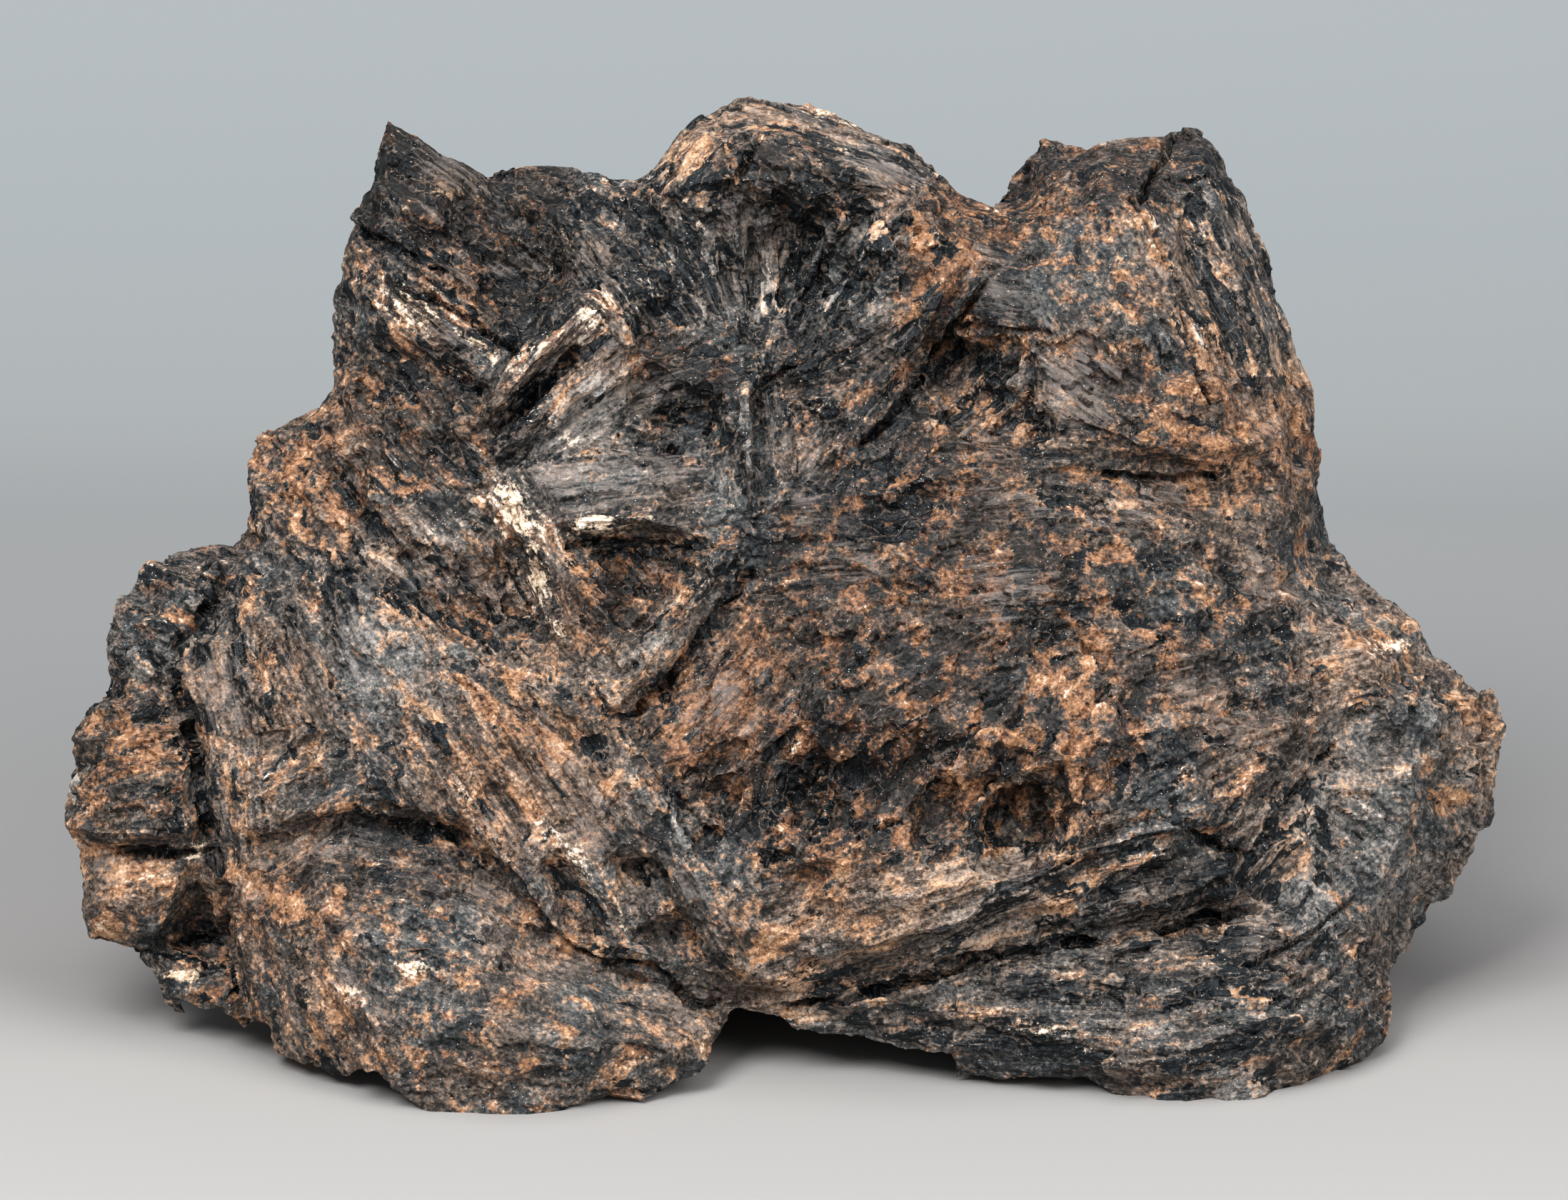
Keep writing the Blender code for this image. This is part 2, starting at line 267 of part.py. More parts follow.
# The grain of each sheaf on the broad face: middle (across, up), how far it reaches, the way it runs in
# degrees above level, and how deep its folia are stepped, all in mm but the angle.
SHEAVES = (
    ("spike", -28, 72.5, 5, -35, 0.15), ("wedge", -27, 62, 7, -38, 0.40),
    ("speckled", -22, 66.5, 5, -30, 0.20), ("shoulder", -32, 53, 7, -45, 0.30),
    ("strap", -19, 56.5, 6, 43, 0.45), ("slats", -11, 66, 5.5, -50, 0.35),
    ("peak flank", -8.5, 73.5, 3, 52, 0.30), ("peak top", 3, 75.5, 6, -18, 0.35),
    ("fan left", -3, 65, 4, 102, 0.45), ("fan right", 4, 65, 5, 70, 0.45),
    ("keel", -2.6, 52, 4, 95, 0.25), ("cheek", 12, 58, 7, 50, 0.25),
    ("head front", 24, 63, 9, -58, 0.25), ("head side", 34, 62, 6, -63, 0.40),
    ("waist", 31, 50.5, 7, -6, 0.30), ("main high", 18, 43, 12, 8, 0.20),
    ("main low", 14, 28, 11, 40, 0.20), ("main right", 33, 34, 8, 25, 0.20),
    ("lobe high", 46, 34, 7, 20, 0.35), ("lobe low", 46, 21, 7, -40, 0.25),
    ("fan low", 14, 14, 8, 15, 0.40), ("fan mid", 28, 17, 7, 14, 0.45),
    ("fan tip", 37, 21, 4, 48, 0.40), ("toe", 16, 7, 12, -2, 0.45), ("toe right", 35, 7, 8, 6, 0.45),
    ("toe end", 45, 8, 4, 48, 0.40), ("boot", -18, 6, 9, -12, 0.20),
    ("boot high", -26, 15, 8, -25, 0.20), ("boot flank", -37, 10, 7, -55, 0.30),
    ("slab", -42, 32, 6, -76, 0.35), ("slab right", -34, 36, 6, -62, 0.30),
    ("node", -39, 24, 5, 40, 0.30), ("flow", -22, 27, 7, -52, 0.35), ("streaks", -14, 17, 5, -55, 0.40),
    ("blade", -9, 36, 4, 53, 0.25), ("pale arm", -12, 46.5, 5, 8, 0.30),
    ("pale rib", -19, 41, 5, -60, 0.30), ("ledge block", -51, 27, 5, 8, 0.45),
    ("mid block", -50, 17, 4, 4, 0.15), ("low block", -46, 10, 4, 2, 0.25),
    ("top block", -48, 39, 5, -28, 0.35),
)
BACK_GRAIN = math.radians(12.0)
FOLIA_SPACING = 3.0 * MM
FOLIA_DEPTH = 2.0
CHIP_STRETCH = 2.4
RIM_CALM = 0.65

# Pits (and, below zero, knobs) of the broad face: middle (across, up), radius and depth, mm.
PITS = (
    (2.4, 24.6, 3.0, 1.7), (3.3, 24.8, 1.1, -1.2), (18.0, 22.6, 2.6, 2.2), (11.8, 27.8, 1.9, 1.2),
    (11.9, 23.4, 1.9, 1.3), (-5.0, 25.0, 1.5, 1.0), (-4.5, 22.4, 1.5, 0.9), (-3.0, 19.4, 1.3, 0.8),
    (1.5, 17.5, 1.4, 0.8), (15.4, 17.8, 1.6, 0.8), (12.6, 57.6, 2.0, 1.8), (14.8, 55.9, 1.7, 1.2),
    (16.0, 57.8, 1.3, -0.9), (17.8, 52.8, 2.3, 1.5), (8.6, 46.8, 2.2, 0.8), (-20.0, 45.8, 1.2, 1.2),
    (-20.8, 41.2, 1.4, 1.2), (-19.8, 38.0, 1.2, 1.0), (-27.0, 43.6, 1.4, 1.0), (-26.9, 40.8, 1.5, 1.0),
    (-23.6, 42.0, 1.3, 0.8), (-34.0, 48.0, 1.7, 1.3), (-32.0, 44.6, 1.5, 0.8), (-11.2, 18.3, 1.7, 1.3),
    (-7.8, 13.4, 1.7, 1.1), (-15.6, 15.6, 1.8, 1.0), (26.8, 26.4, 2.4, 1.2), (22.6, 30.4, 1.8, 0.8),
    (30.2, 39.0, 2.0, 0.8), (21.0, 37.0, 2.0, 0.7), (13.6, 40.0, 2.0, 0.6), (36.6, 31.0, 1.8, 0.8),
    (32.6, 14.9, 2.2, 1.2), (27.2, 12.6, 1.5, 0.9), (-20.4, 65.4, 2.4, 0.9), (-23.4, 62.8, 1.6, 0.7),
    (-28.6, 72.6, 1.8, 0.6), (-12.6, 67.0, 1.4, 0.8), (-8.8, 60.4, 1.8, 0.9), (-6.8, 53.4, 1.8, 1.0),
    (1.6, 53.2, 2.0, 0.7), (24.6, 66.2, 2.0, 0.6), (21.4, 57.4, 2.4, 0.7), (51.4, 24.8, 2.0, 0.6),
    (47.0, 29.4, 2.2, 0.7), (-50.2, 39.8, 1.8, 0.9), (-44.4, 12.8, 1.6, 1.0), (-30.4, 28.6, 1.8, 0.6),
    (-22.6, 36.8, 1.7, 0.7), (-16.0, 28.8, 1.8, 0.6),
)
# Blades that radiate in the deep fan under the peak: their common foot, the far end of each, their height
# and half their width.
FAN_FOOT = (-1.6, 56.4)
FAN_TIPS = ((-6.6, 66.6), (-4.2, 69.4), (-1.4, 70.6), (1.8, 70.8), (5.0, 70.0), (8.2, 68.4), (10.2, 65.6),
            (10.4, 62.0))
FAN_HEIGHT = 1.3
FAN_WIDTH = 0.75

DATUM_ACROSS = Vector((1, 0, 0))
DATUM_UP = Vector((0, math.sin(LEAN), math.cos(LEAN)))
DATUM_OUT = Vector((0, -math.cos(LEAN), math.sin(LEAN)))


def sight_spread(proud):
    """How much wider than it looks a thing is that stands proud of the datum plane, or behind it."""
    return 1 - proud / SIGHT_DISTANCE


def on_datum(across, up, proud):
    """The place in the stone's own frame, in metres, of a point sighted at these millimetres."""
    spread = sight_spread(proud)
    up = SIGHT_UP + (up - SIGHT_UP) * spread
    return (DATUM_ACROSS * across * spread + DATUM_UP * up + DATUM_OUT * proud) * MM


def clear_scene():
    for old in list(bpy.data.objects):
        bpy.data.objects.remove(old, do_unlink=True)


def rim_points():
    """(across, up, proud) of every rim point; each stretch runs evenly from its first depth to its last.

    The rim is drawn a little large, because remeshing rounds it.
    """
    points = []
    for _, first, last, stretch in RIM:
        for i, (across, up) in enumerate(stretch):
            proud = first + (last - first) * i / (len(stretch) - 1)
            points.append((across * RIM_GROWTH, SIGHT_UP + (up - SIGHT_UP) * RIM_GROWTH, proud))
    return points


def as_sighted(place):
    """(across, up, proud) as sighted, in mm, of a plain x, y, z in mm."""
    proud = place.dot(DATUM_OUT)
    spread = sight_spread(proud)
    return place.dot(DATUM_ACROSS) / spread, SIGHT_UP + (place.dot(DATUM_UP) - SIGHT_UP) / spread, proud


def back_points():
    """The back's lines, as sighted from the front."""
    return [[as_sighted(Vector(p)) for p in line] for line in BACK.values()]


def triangulate(rim, lines, swell):
    """Points and triangles of one side, seen square to the datum plane, with every line kept as an edge.

    A triangle that spans three rim points would lie on both sides, so it is split at a point swelled off its
    middle.
    """
    points = list(rim)
    edges = [(i, (i + 1) % len(rim)) for i in range(len(rim))]
    for line in lines:
        start = len(points)
        points.extend(line)
        edges.extend((i, i + 1) for i in range(start, len(points) - 1))
    flat = [Vector(p[:2]) for p in points]
    made, _, faces, origins, _, _ = geometry.delaunay_2d_cdt(flat, edges, [list(range(len(rim)))], 1, 1e-5)
    crossed = [tuple(round(c, 1) for c in made[i]) for i, source in enumerate(origins) if not source]
    if crossed:
        raise ValueError(f"lines cross at {crossed}")
    chosen = [source[0] for source in origins]
    triangles = []
    for face in faces:
        a, b, c = (chosen[i] for i in face)
        if max(a, b, c) < len(rim):
            middle = sum((Vector(points[i]) for i in (a, b, c)), Vector()) / 3
            points.append((middle.x, middle.y, middle.z + swell))
            triangles.extend((first, second, len(points) - 1) for first, second in ((a, b), (b, c), (c, a)))
        else:
            triangles.append((a, b, c))
    return points, triangles


def cage_mesh():
    """The closed cage: the broad face and the back, sewn along the rim."""
    rim = rim_points()
    shape = bmesh.new()
    rim_verts = [shape.verts.new(on_datum(*p)) for p in rim]
    for lines, swell in ((FACE.values(), RIM_SWELL), (back_points(), -RIM_SWELL)):
        points, faces = triangulate(rim, lines, swell)
        verts = rim_verts + [shape.verts.new(on_datum(*p)) for p in points[len(rim):]]
        for face in faces:
            shape.faces.new([verts[i] for i in face])
    bmesh.ops.recalc_face_normals(shape, faces=shape.faces)
    mesh = bpy.data.meshes.new("cage")
    shape.to_mesh(mesh)
    shape.free()
    return mesh


def remeshed(mesh, voxel):
    """The cage as an even mesh, fine enough to roughen."""
    holder = bpy.data.objects.new("cage", mesh)
    bpy.context.scene.collection.objects.link(holder)
    remesh = holder.modifiers.new("even", "REMESH")
    remesh.mode = "VOXEL"
    remesh.voxel_size = voxel
    graph = bpy.context.evaluated_depsgraph_get()
    even = bpy.data.meshes.new_from_object(holder.evaluated_get(graph))
    bpy.data.objects.remove(holder, do_unlink=True)
    bpy.data.meshes.remove(mesh)
    return even


def vertex_array(mesh, what="co"):
    values = np.empty(len(mesh.vertices) * 3, np.float32)
    source = mesh.vertices if what == "co" else mesh.vertex_normals
    source.foreach_get("co" if what == "co" else "vector", values)
    return values.reshape(-1, 3).astype(float)


def nearest_sheaf(across, up):
    """For each point, the number of the sheaf that it belongs to."""
    reach = [np.hypot(across - x, up - v) / r for _, x, v, r, _, _ in SHEAVES]
    return np.argmin(np.array(reach), axis=0)


def saw(t):
    """A lamella's edge: a slow rise and a sharp drop, from -0.5 to 0.5."""
    t = t - np.floor(t)
    return np.where(t < 0.8, t / 0.8, (1 - t) / 0.2) - 0.5


def dents(across, up, warp):
    """How far, in mm, the pits and knobs lower the broad face; the warp breaks their outlines."""
    depth = np.zeros(len(across))
    for x, v, radius, deep in PITS:
        span = np.hypot(across - x + 1.9 * warp[:, 0], up - v + 1.9 * warp[:, 1]) / radius
        depth += deep * np.exp(-(span ** 3))
    return depth


def blades(across, up):
    """How far, in mm, the radiating blades of the fan stand up."""
    height = np.zeros(len(across))
    for tip in FAN_TIPS:
        run = Vector(tip) - Vector(FAN_FOOT)
        along = ((across - FAN_FOOT[0]) * run.x + (up - FAN_FOOT[1]) * run.y) / run.length_squared
        near = np.clip(along, 0.12, 1)
        off = np.hypot(across - FAN_FOOT[0] - near * run.x, up - FAN_FOOT[1] - near * run.y)
        height = np.maximum(height, FAN_HEIGHT * np.clip(1 - off / (FAN_WIDTH * (0.5 + near)), 0, 1))
    return height


def chips(places, size, shift):
    """Broken chips: each cell of a random mosaic is a small flat facet with its own slope, from -1 to 1."""
    values = []
    for p in places:
        spot = Vector(p) / size + shift
        seed = noise.voronoi(spot)[1][0]
        slope = noise.cell_vector(seed * 7.3) - Vector((0.5, 0.5, 0.5))
        values.append(max(-1.0, min(1.0, slope.dot(spot - seed) * 2.4)))
    return np.array(values)


def roughen(mesh):
    """Moves each vertex along its normal: lumps everywhere, folia steps along each sheaf's grain."""
    places = vertex_array(mesh)
    normals = vertex_array(mesh, "normal")
    up = places @ np.array(DATUM_UP)
    out_facing = normals @ np.array(DATUM_OUT)
    lump = np.array([noise.fractal(Vector(p) / (9 * MM), 0.9, 2.1, 3) for p in places])
    aside = Vector((7, 3, 1))
    chunk = np.array([noise.fractal(Vector(p) / (4.5 * MM) + aside, 0.8, 2.0, 2) for p in places])
    warp = np.array([noise.noise(Vector(p) / (6 * MM) + Vector((2, 9, 4))) for p in places])
    bend = np.array([noise.noise_vector(Vector(p) / (1.9 * MM)) for p in places])
    sheaf = nearest_sheaf(places[:, 0] / MM, up / MM)
    angle = np.radians(np.array([s[4] for s in SHEAVES], float))[sheaf]
    depth = np.array([s[5] for s in SHEAVES], float)[sheaf] * MM
    front = np.clip(out_facing * 2.5 + 0.5, 0, 1)
    along_grain = np.cos(angle) * places[:, 0] + np.sin(angle) * up
    across_grain = -np.sin(angle) * places[:, 0] + np.cos(angle) * up
    drawn_out = np.stack([along_grain / CHIP_STRETCH, across_grain, places @ np.array(DATUM_OUT)], axis=1)
    small_chips = chips(drawn_out + 0.4 * MM * bend, 3.3 * MM, Vector((3, 1, 8)))
    large_chips = chips(places, 12 * MM, Vector((5, 2, 0)))
    folia = saw(across_grain / FOLIA_SPACING + 0.9 * warp) * depth * FOLIA_DEPTH * front
    carved = (blades(places[:, 0] / MM, up / MM) - dents(places[:, 0] / MM, up / MM, bend)) * MM * front
    level = places[:, 2] * math.cos(BACK_GRAIN) - places[:, 0] * math.sin(BACK_GRAIN)
    side = np.clip(1 - np.abs(normals[:, 2]) * 1.4, 0, 1) * (1 - front)
    ledges = saw(level / (5.5 * MM) + 1.3 * warp) * 0.9 * MM * side
    fine = (0.3 * lump + 0.2 * chunk + 0.5 * small_chips) * MM * front
    coarse = (0.8 * lump + 0.2 * chunk + 0.25 * small_chips + 2.3 * large_chips) * MM * (1 - front)
    at_rim = 1 - RIM_CALM * np.exp(-((out_facing / 0.4) ** 2))
    moved = places + normals * ((fine + coarse + folia + ledges + carved) * at_rim)[:, None]
    mesh.vertices.foreach_set("co", moved.astype(np.float32).ravel())
    mesh.update()
    return front


def stone_material():
    """Dark, slightly greasy mica-like mineral, tarnished brown."""
    material = bpy.data.materials.new("bannisterite")
    material.use_nodes = True
    shader = material.node_tree.nodes["Principled BSDF"]
    shader.inputs["Base Color"].default_value = (0.075, 0.047, 0.032, 1)
    shader.inputs["Roughness"].default_value = 0.55
    shader.inputs["Metallic"].default_value = 0.0
    return material


def table_cutter(collection):
    """A slab whose top is the table: what reaches into it is cut off flat."""
    shape = bmesh.new()
    bmesh.ops.create_cube(shape, size=TABLE_SIZE)
    bmesh.ops.translate(shape, verts=shape.verts, vec=(0, TABLE_SIZE / 4, -TABLE_SIZE / 2))
    mesh = bpy.data.meshes.new("table")
    shape.to_mesh(mesh)
    shape.free()
    cutter = bpy.data.objects.new("table", mesh)
    cutter.hide_render = True
    cutter.display_type = "WIRE"
    collection.objects.link(cutter)
    return cutter


def collection_named(name):
    made = bpy.data.collections.new(name)
    bpy.context.scene.collection.children.link(made)
    return made


def main():
    clear_scene()
    mesh = remeshed(cage_mesh(), VOXEL)
    facing = roughen(mesh)
    mesh.materials.clear()
    mesh.materials.append(stone_material())
    stone = bpy.data.objects.new("bannisterite_stone", mesh)
    collection_named("bannisterite").objects.link(stone)
    thinning = stone.vertex_groups.new(name="thinning")
    for i, weight in enumerate(facing):
        thinning.add([i], 1 - 0.5 * float(weight), "REPLACE")
    cutter = table_cutter(collection_named("cutters"))
    thin = stone.modifiers.new("thin", "DECIMATE")
    thin.ratio = TRIANGLES / (2 * len(mesh.polygons))
    thin.use_collapse_triangulate = True
    thin.vertex_group = "thinning"
    thin.vertex_group_factor = FACE_FAVOUR
    stand = stone.modifiers.new("stand", "BOOLEAN")
    stand.operation = "DIFFERENCE"
    stand.object = cutter
    graph = bpy.context.evaluated_depsgraph_get()
    corners = [Vector(c) for c in stone.evaluated_get(graph).bound_box]
    middle = sum(corners, Vector()) / len(corners)
    for thing in (stone, cutter):
        thing.location = (-middle.x, -middle.y, 0)


main()
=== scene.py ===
"""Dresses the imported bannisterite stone: fine relief, flaky colours, a pale floor, soft light and the camera.

The stone's relief and colours are laid out on the plane of its broad face, which leans back: across and up
that plane, in millimetres, from the point on the table under the middle of the broad face, as sighted square
to the plane from two metres away.
"""

import functools
import math

import bmesh
import bpy
import numpy as np
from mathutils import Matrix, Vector, noise

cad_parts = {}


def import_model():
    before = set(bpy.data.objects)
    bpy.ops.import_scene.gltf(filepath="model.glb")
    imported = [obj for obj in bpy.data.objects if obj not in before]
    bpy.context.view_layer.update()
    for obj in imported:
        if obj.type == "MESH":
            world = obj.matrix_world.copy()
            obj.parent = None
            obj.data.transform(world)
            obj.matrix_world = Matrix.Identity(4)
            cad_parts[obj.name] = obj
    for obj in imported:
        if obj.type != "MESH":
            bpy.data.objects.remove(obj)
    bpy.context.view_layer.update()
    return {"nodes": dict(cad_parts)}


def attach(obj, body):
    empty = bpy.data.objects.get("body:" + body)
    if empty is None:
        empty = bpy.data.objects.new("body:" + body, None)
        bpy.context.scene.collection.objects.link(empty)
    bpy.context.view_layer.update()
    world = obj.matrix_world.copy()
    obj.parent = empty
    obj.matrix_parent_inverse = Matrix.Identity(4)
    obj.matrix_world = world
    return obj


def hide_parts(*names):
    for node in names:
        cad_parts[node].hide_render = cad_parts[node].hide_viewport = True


MM = 0.001
NODE = "bannisterite_stone"
# Without a number of its own the noise starts from the clock, and the stone would differ from run to run.
NOISE_START = 1

# The plane of the broad face: how far it leans back, where it meets the floor, and its ways across, up and out.
LEAN = math.radians(20.0)
FACE_FOOT = Vector((-0.182 * MM, -31.485 * MM, 0))
FACE_ACROSS = Vector((1, 0, 0))
FACE_UP = Vector((0, math.sin(LEAN), math.cos(LEAN)))
FACE_OUT = Vector((0, -math.cos(LEAN), math.sin(LEAN)))

# In mm: the plane is sighted from this far away, at this height up it, and this width of it fills the view.
SIGHT_DISTANCE = 2000.0
SIGHT_UP = 39.6
SIGHT_WIDTH = 120.78

# The length that edges are halved towards: finer on the broad face, coarser where it turns away to the back.
# An edge is halved where it is longer than that by the factor LONG.
FACE_EDGE = 0.30 * MM
BACK_EDGE = 0.85 * MM
LONG = 1.35
HALVINGS = 5
# Each halving is eased by this share, but not within this band above the floor: there the stone rests flat.
EASING = 0.16
FLAT_BAND = 0.3 * MM
STRIPS = 3

# The grain of each sheaf: its name, its middle (across, up), how far it reaches, the way its folia run in
# degrees above level, how deep they are stepped, how light it is (from -1, nearly black, to 1.4, pale) and
# how warm (from -0.2, blue-grey, to 1, rust).
GRAIN = (
    ("spike", -28, 72.5, 5, -35, 0.10, -0.56, 0.45),
    ("wedge", -27, 62.5, 6, -38, 0.24, -0.50, 0.40),
    ("wedge foot", -24, 58, 3, -25, 0.20, -0.05, 0.20),
    ("speckled", -21.5, 66.5, 5, -30, 0.12, -0.35, 0.60),
    ("ochre shoulder", -28.5, 54, 5, -48, 0.20, -0.78, 0.85),
    ("shoulder", -34.5, 52, 5, -50, 0.18, 0.24, 0.75),
    ("strap", -19, 57.5, 5, 44, 0.26, -1.05, 0.25),
    ("strap low", -15.5, 55, 4, 40, 0.26, 0.02, 0.20),
    ("slats", -11, 66.5, 5.2, -55, 0.30, -0.82, 0.12),
    ("peak flank", -8.2, 73.2, 3, 52, 0.26, -0.20, 0.60),
    ("peak top", 3, 76, 6, -18, 0.30, -0.44, 0.45),
    ("peak front", 1, 72.8, 4.5, -30, 0.12, -0.28, 0.62),
    ("fan of the peak, left", -3, 66, 4, 104, 0.26, -0.24, -0.20),
    ("fan of the peak, middle", 1.5, 66, 3.2, 84, 0.26, -0.34, -0.20),
    ("fan of the peak, right", 6, 64.5, 4, 62, 0.26, -0.26, -0.15),
    ("fan of the peak, foot", 3.5, 59, 3, 55, 0.18, -0.22, 0.20),
    ("keel", -3.2, 52, 3, 96, 0.20, -0.10, 0.40),
    ("inner face", -8.5, 55.5, 4, 15, 0.14, -0.22, 0.42),
    ("cheek", 11.5, 65, 4.5, 50, 0.16, 0.02, 0.75),
    ("cheek low", 8, 52, 4.5, 52, 0.18, -0.20, 0.50),
    ("cheek pits", 15, 56, 4, 40, 0.20, 0.12, 0.70),
    ("rim", 17, 68, 3.5, -20, 0.14, 0.16, 0.95),
    ("pale cheek", 17.5, 63, 3.2, -12, 0.10, 0.16, 0.30),
    ("head front", 24.5, 64, 7, -62, 0.14, 0.92, 0.28),
    ("head top", 25, 73.4, 5, -8, 0.14, 0.00, 0.45),
    ("head low", 24, 56.5, 5, -35, 0.14, 0.20, 0.50),
    ("head side", 34, 63, 6, -64, 0.26, -0.50, 0.50),
    ("waist", 33, 51, 6, -7, 0.15, 0.62, 0.75),
    ("waist left", 21.5, 50.5, 5, -3, 0.20, 0.06, 0.60),
    ("main high", 15, 44, 9, 4, 0.14, 0.02, 0.82),
    ("main high right", 31, 43, 9, -8, 0.14, 0.62, 0.58),
    ("main middle", 12, 34, 7, 28, 0.12, 0.42, 0.70),
    ("main low", 6, 25, 7, 62, 0.12, 0.26, 0.75),
    ("main low right", 20, 27, 7, 60, 0.12, 0.88, 0.75),
    ("main right", 33, 33, 7, 12, 0.16, 0.12, 0.36),
    ("main edge", 33, 24.5, 5, 28, 0.20, -0.24, 0.45),
    ("main foot", 6, 16, 5.5, 22, 0.20, 0.41, 0.60),
    ("lobe high", 45, 36, 6, 16, 0.20, 0.34, 0.40),
    ("lobe middle", 47, 28, 5, 0, 0.16, 0.90, 0.22),
    ("lobe low", 47, 20, 6, -40, 0.16, 0.72, 0.28),
    ("fan low", 16, 15.5, 6, 17, 0.26, -0.12, 0.40),
    ("fan mid", 28, 18, 6, 12, 0.26, -0.62, 0.15),
    ("fan tip", 37.5, 21, 4, 46, 0.28, -0.22, 0.35),
    ("toe left", 9, 8, 5, 4, 0.22, -0.12, 0.40),
    ("toe", 20, 7.5, 7, -2, 0.24, -0.74, 0.15),
    ("toe right", 33, 8, 7, 5, 0.24, -0.40, 0.25),
    ("toe end", 44, 9, 5, 42, 0.22, -0.38, 0.40),
    ("boot toe", -18, 6, 8, -10, 0.12, 0.98, 0.36),
    ("boot", -28, 12, 6, -28, 0.12, 1.02, 0.28),
    ("boot high", -30, 18, 5, -12, 0.14, 0.34, 0.40),
    ("boot flank", -37, 9, 6, -58, 0.18, 0.24, 0.60),
    ("boot facet", -38, 16.5, 3, 30, 0.08, 1.13, 0.60),
    ("slab", -42.5, 34, 5, -72, 0.22, -0.12, 0.55),
    ("slab low", -42.5, 25, 4, -84, 0.22, 0.00, 0.50),
    ("slab right", -36, 36, 5, -60, 0.20, 0.02, 0.40),
    ("grey slope", -32, 35, 4, -55, 0.16, 0.98, 0.50),
    ("node", -38, 25, 4, 30, 0.18, 0.30, 0.60),
    ("flow", -23, 27, 6, -56, 0.24, -0.20, 0.75),
    ("flow high", -20, 32.5, 4.5, -42, 0.20, 0.08, 0.62),
    ("pitted", -26, 42.5, 5, -50, 0.20, 0.34, 0.45),
    ("streaks", -15, 18.5, 5, -56, 0.16, 0.66, 0.40),
    ("grey blade", -7, 17, 4, -62, 0.15, 0.60, 0.40),
    ("blade", -8.5, 37, 3, 53, 0.20, 0.34, 0.45),
    ("hollow", -11.5, 40.5, 3.2, -50, 0.14, -0.05, 0.70),
    ("amber", -4, 32, 4, 50, 0.14, 0.24, 0.90),
    ("pale arm", -12, 47.5, 5, 7, 0.20, 0.04, 0.50),
    ("pale rib", -19, 43, 4, -62, 0.20, 0.12, 0.40),
    ("ledge block", -50.5, 27, 5, 7, 0.20, -0.22, 0.68),
    ("mid block", -50, 17, 4, 4, 0.08, 1.35, 0.30),
    ("low block", -46, 9, 4, 2, 0.16, 0.08, 0.40),
    ("top block", -48, 39, 4.5, -28, 0.24, -0.58, 0.35),
)
SHEAF_ACROSS, SHEAF_UP, SHEAF_REACH, SHEAF_ANGLE, SHEAF_STEP, SHEAF_LIGHT, SHEAF_WARM = np.array(
    [numbers for _, *numbers in GRAIN], float).T

# The back is one sheaf of its own: the way its folia run, and how fast the patterns are read along them.
BACK_GRAIN_ANGLE = 12.0
BACK_DRAWN_OUT = 0.8
# The sheaves that fan out, the foot they spread from (across, up), and how far away their width is measured.
FANNED = "fan of the peak"
FAN_FOOT = (-1.6, 55.0)
FAN_REACH = 9.0
# Borders between sheaves sway by so many mm over waves of this length, and their looks blur by these offsets.
BORDER_SWAY = 0.9
BORDER_WAVE = 3.2 * MM
BORDER_BLUR = ((1.8, 0), (-1.8, 0), (0, 1.8), (0, -1.8), (0.9, 0.9), (-0.9, -0.9))
# Each sheaf reads the patterns this many mm further along than the one before, so that they don't run on.
SHEAF_APART = 31.0

# In mm: the spacing of the thick and thin folia, the width of the large and small crystals, how many times
# longer than wide they are, and the width of the clouds of warmer and cooler ground.
THICK_FOLIA = 1.25
THIN_FOLIA = 0.55
CRYSTAL = 1.6
SMALL_CRYSTAL = 0.8
CRYSTAL_STRETCH = 2.2
CLOUD = 7.5 * MM

# In metres: the floor, the stretch over which its grey changes as painted light and shade, from in front of the
# stone to behind it, and how far the lamps are from the point that they light.
FLOOR_RADIUS = 3.0
FLOOR_FRONT = -0.12
FLOOR_BACK = 0.42
LAMP_DISTANCE = 0.9
LIT_POINT = Vector((0, 0, 0.03))
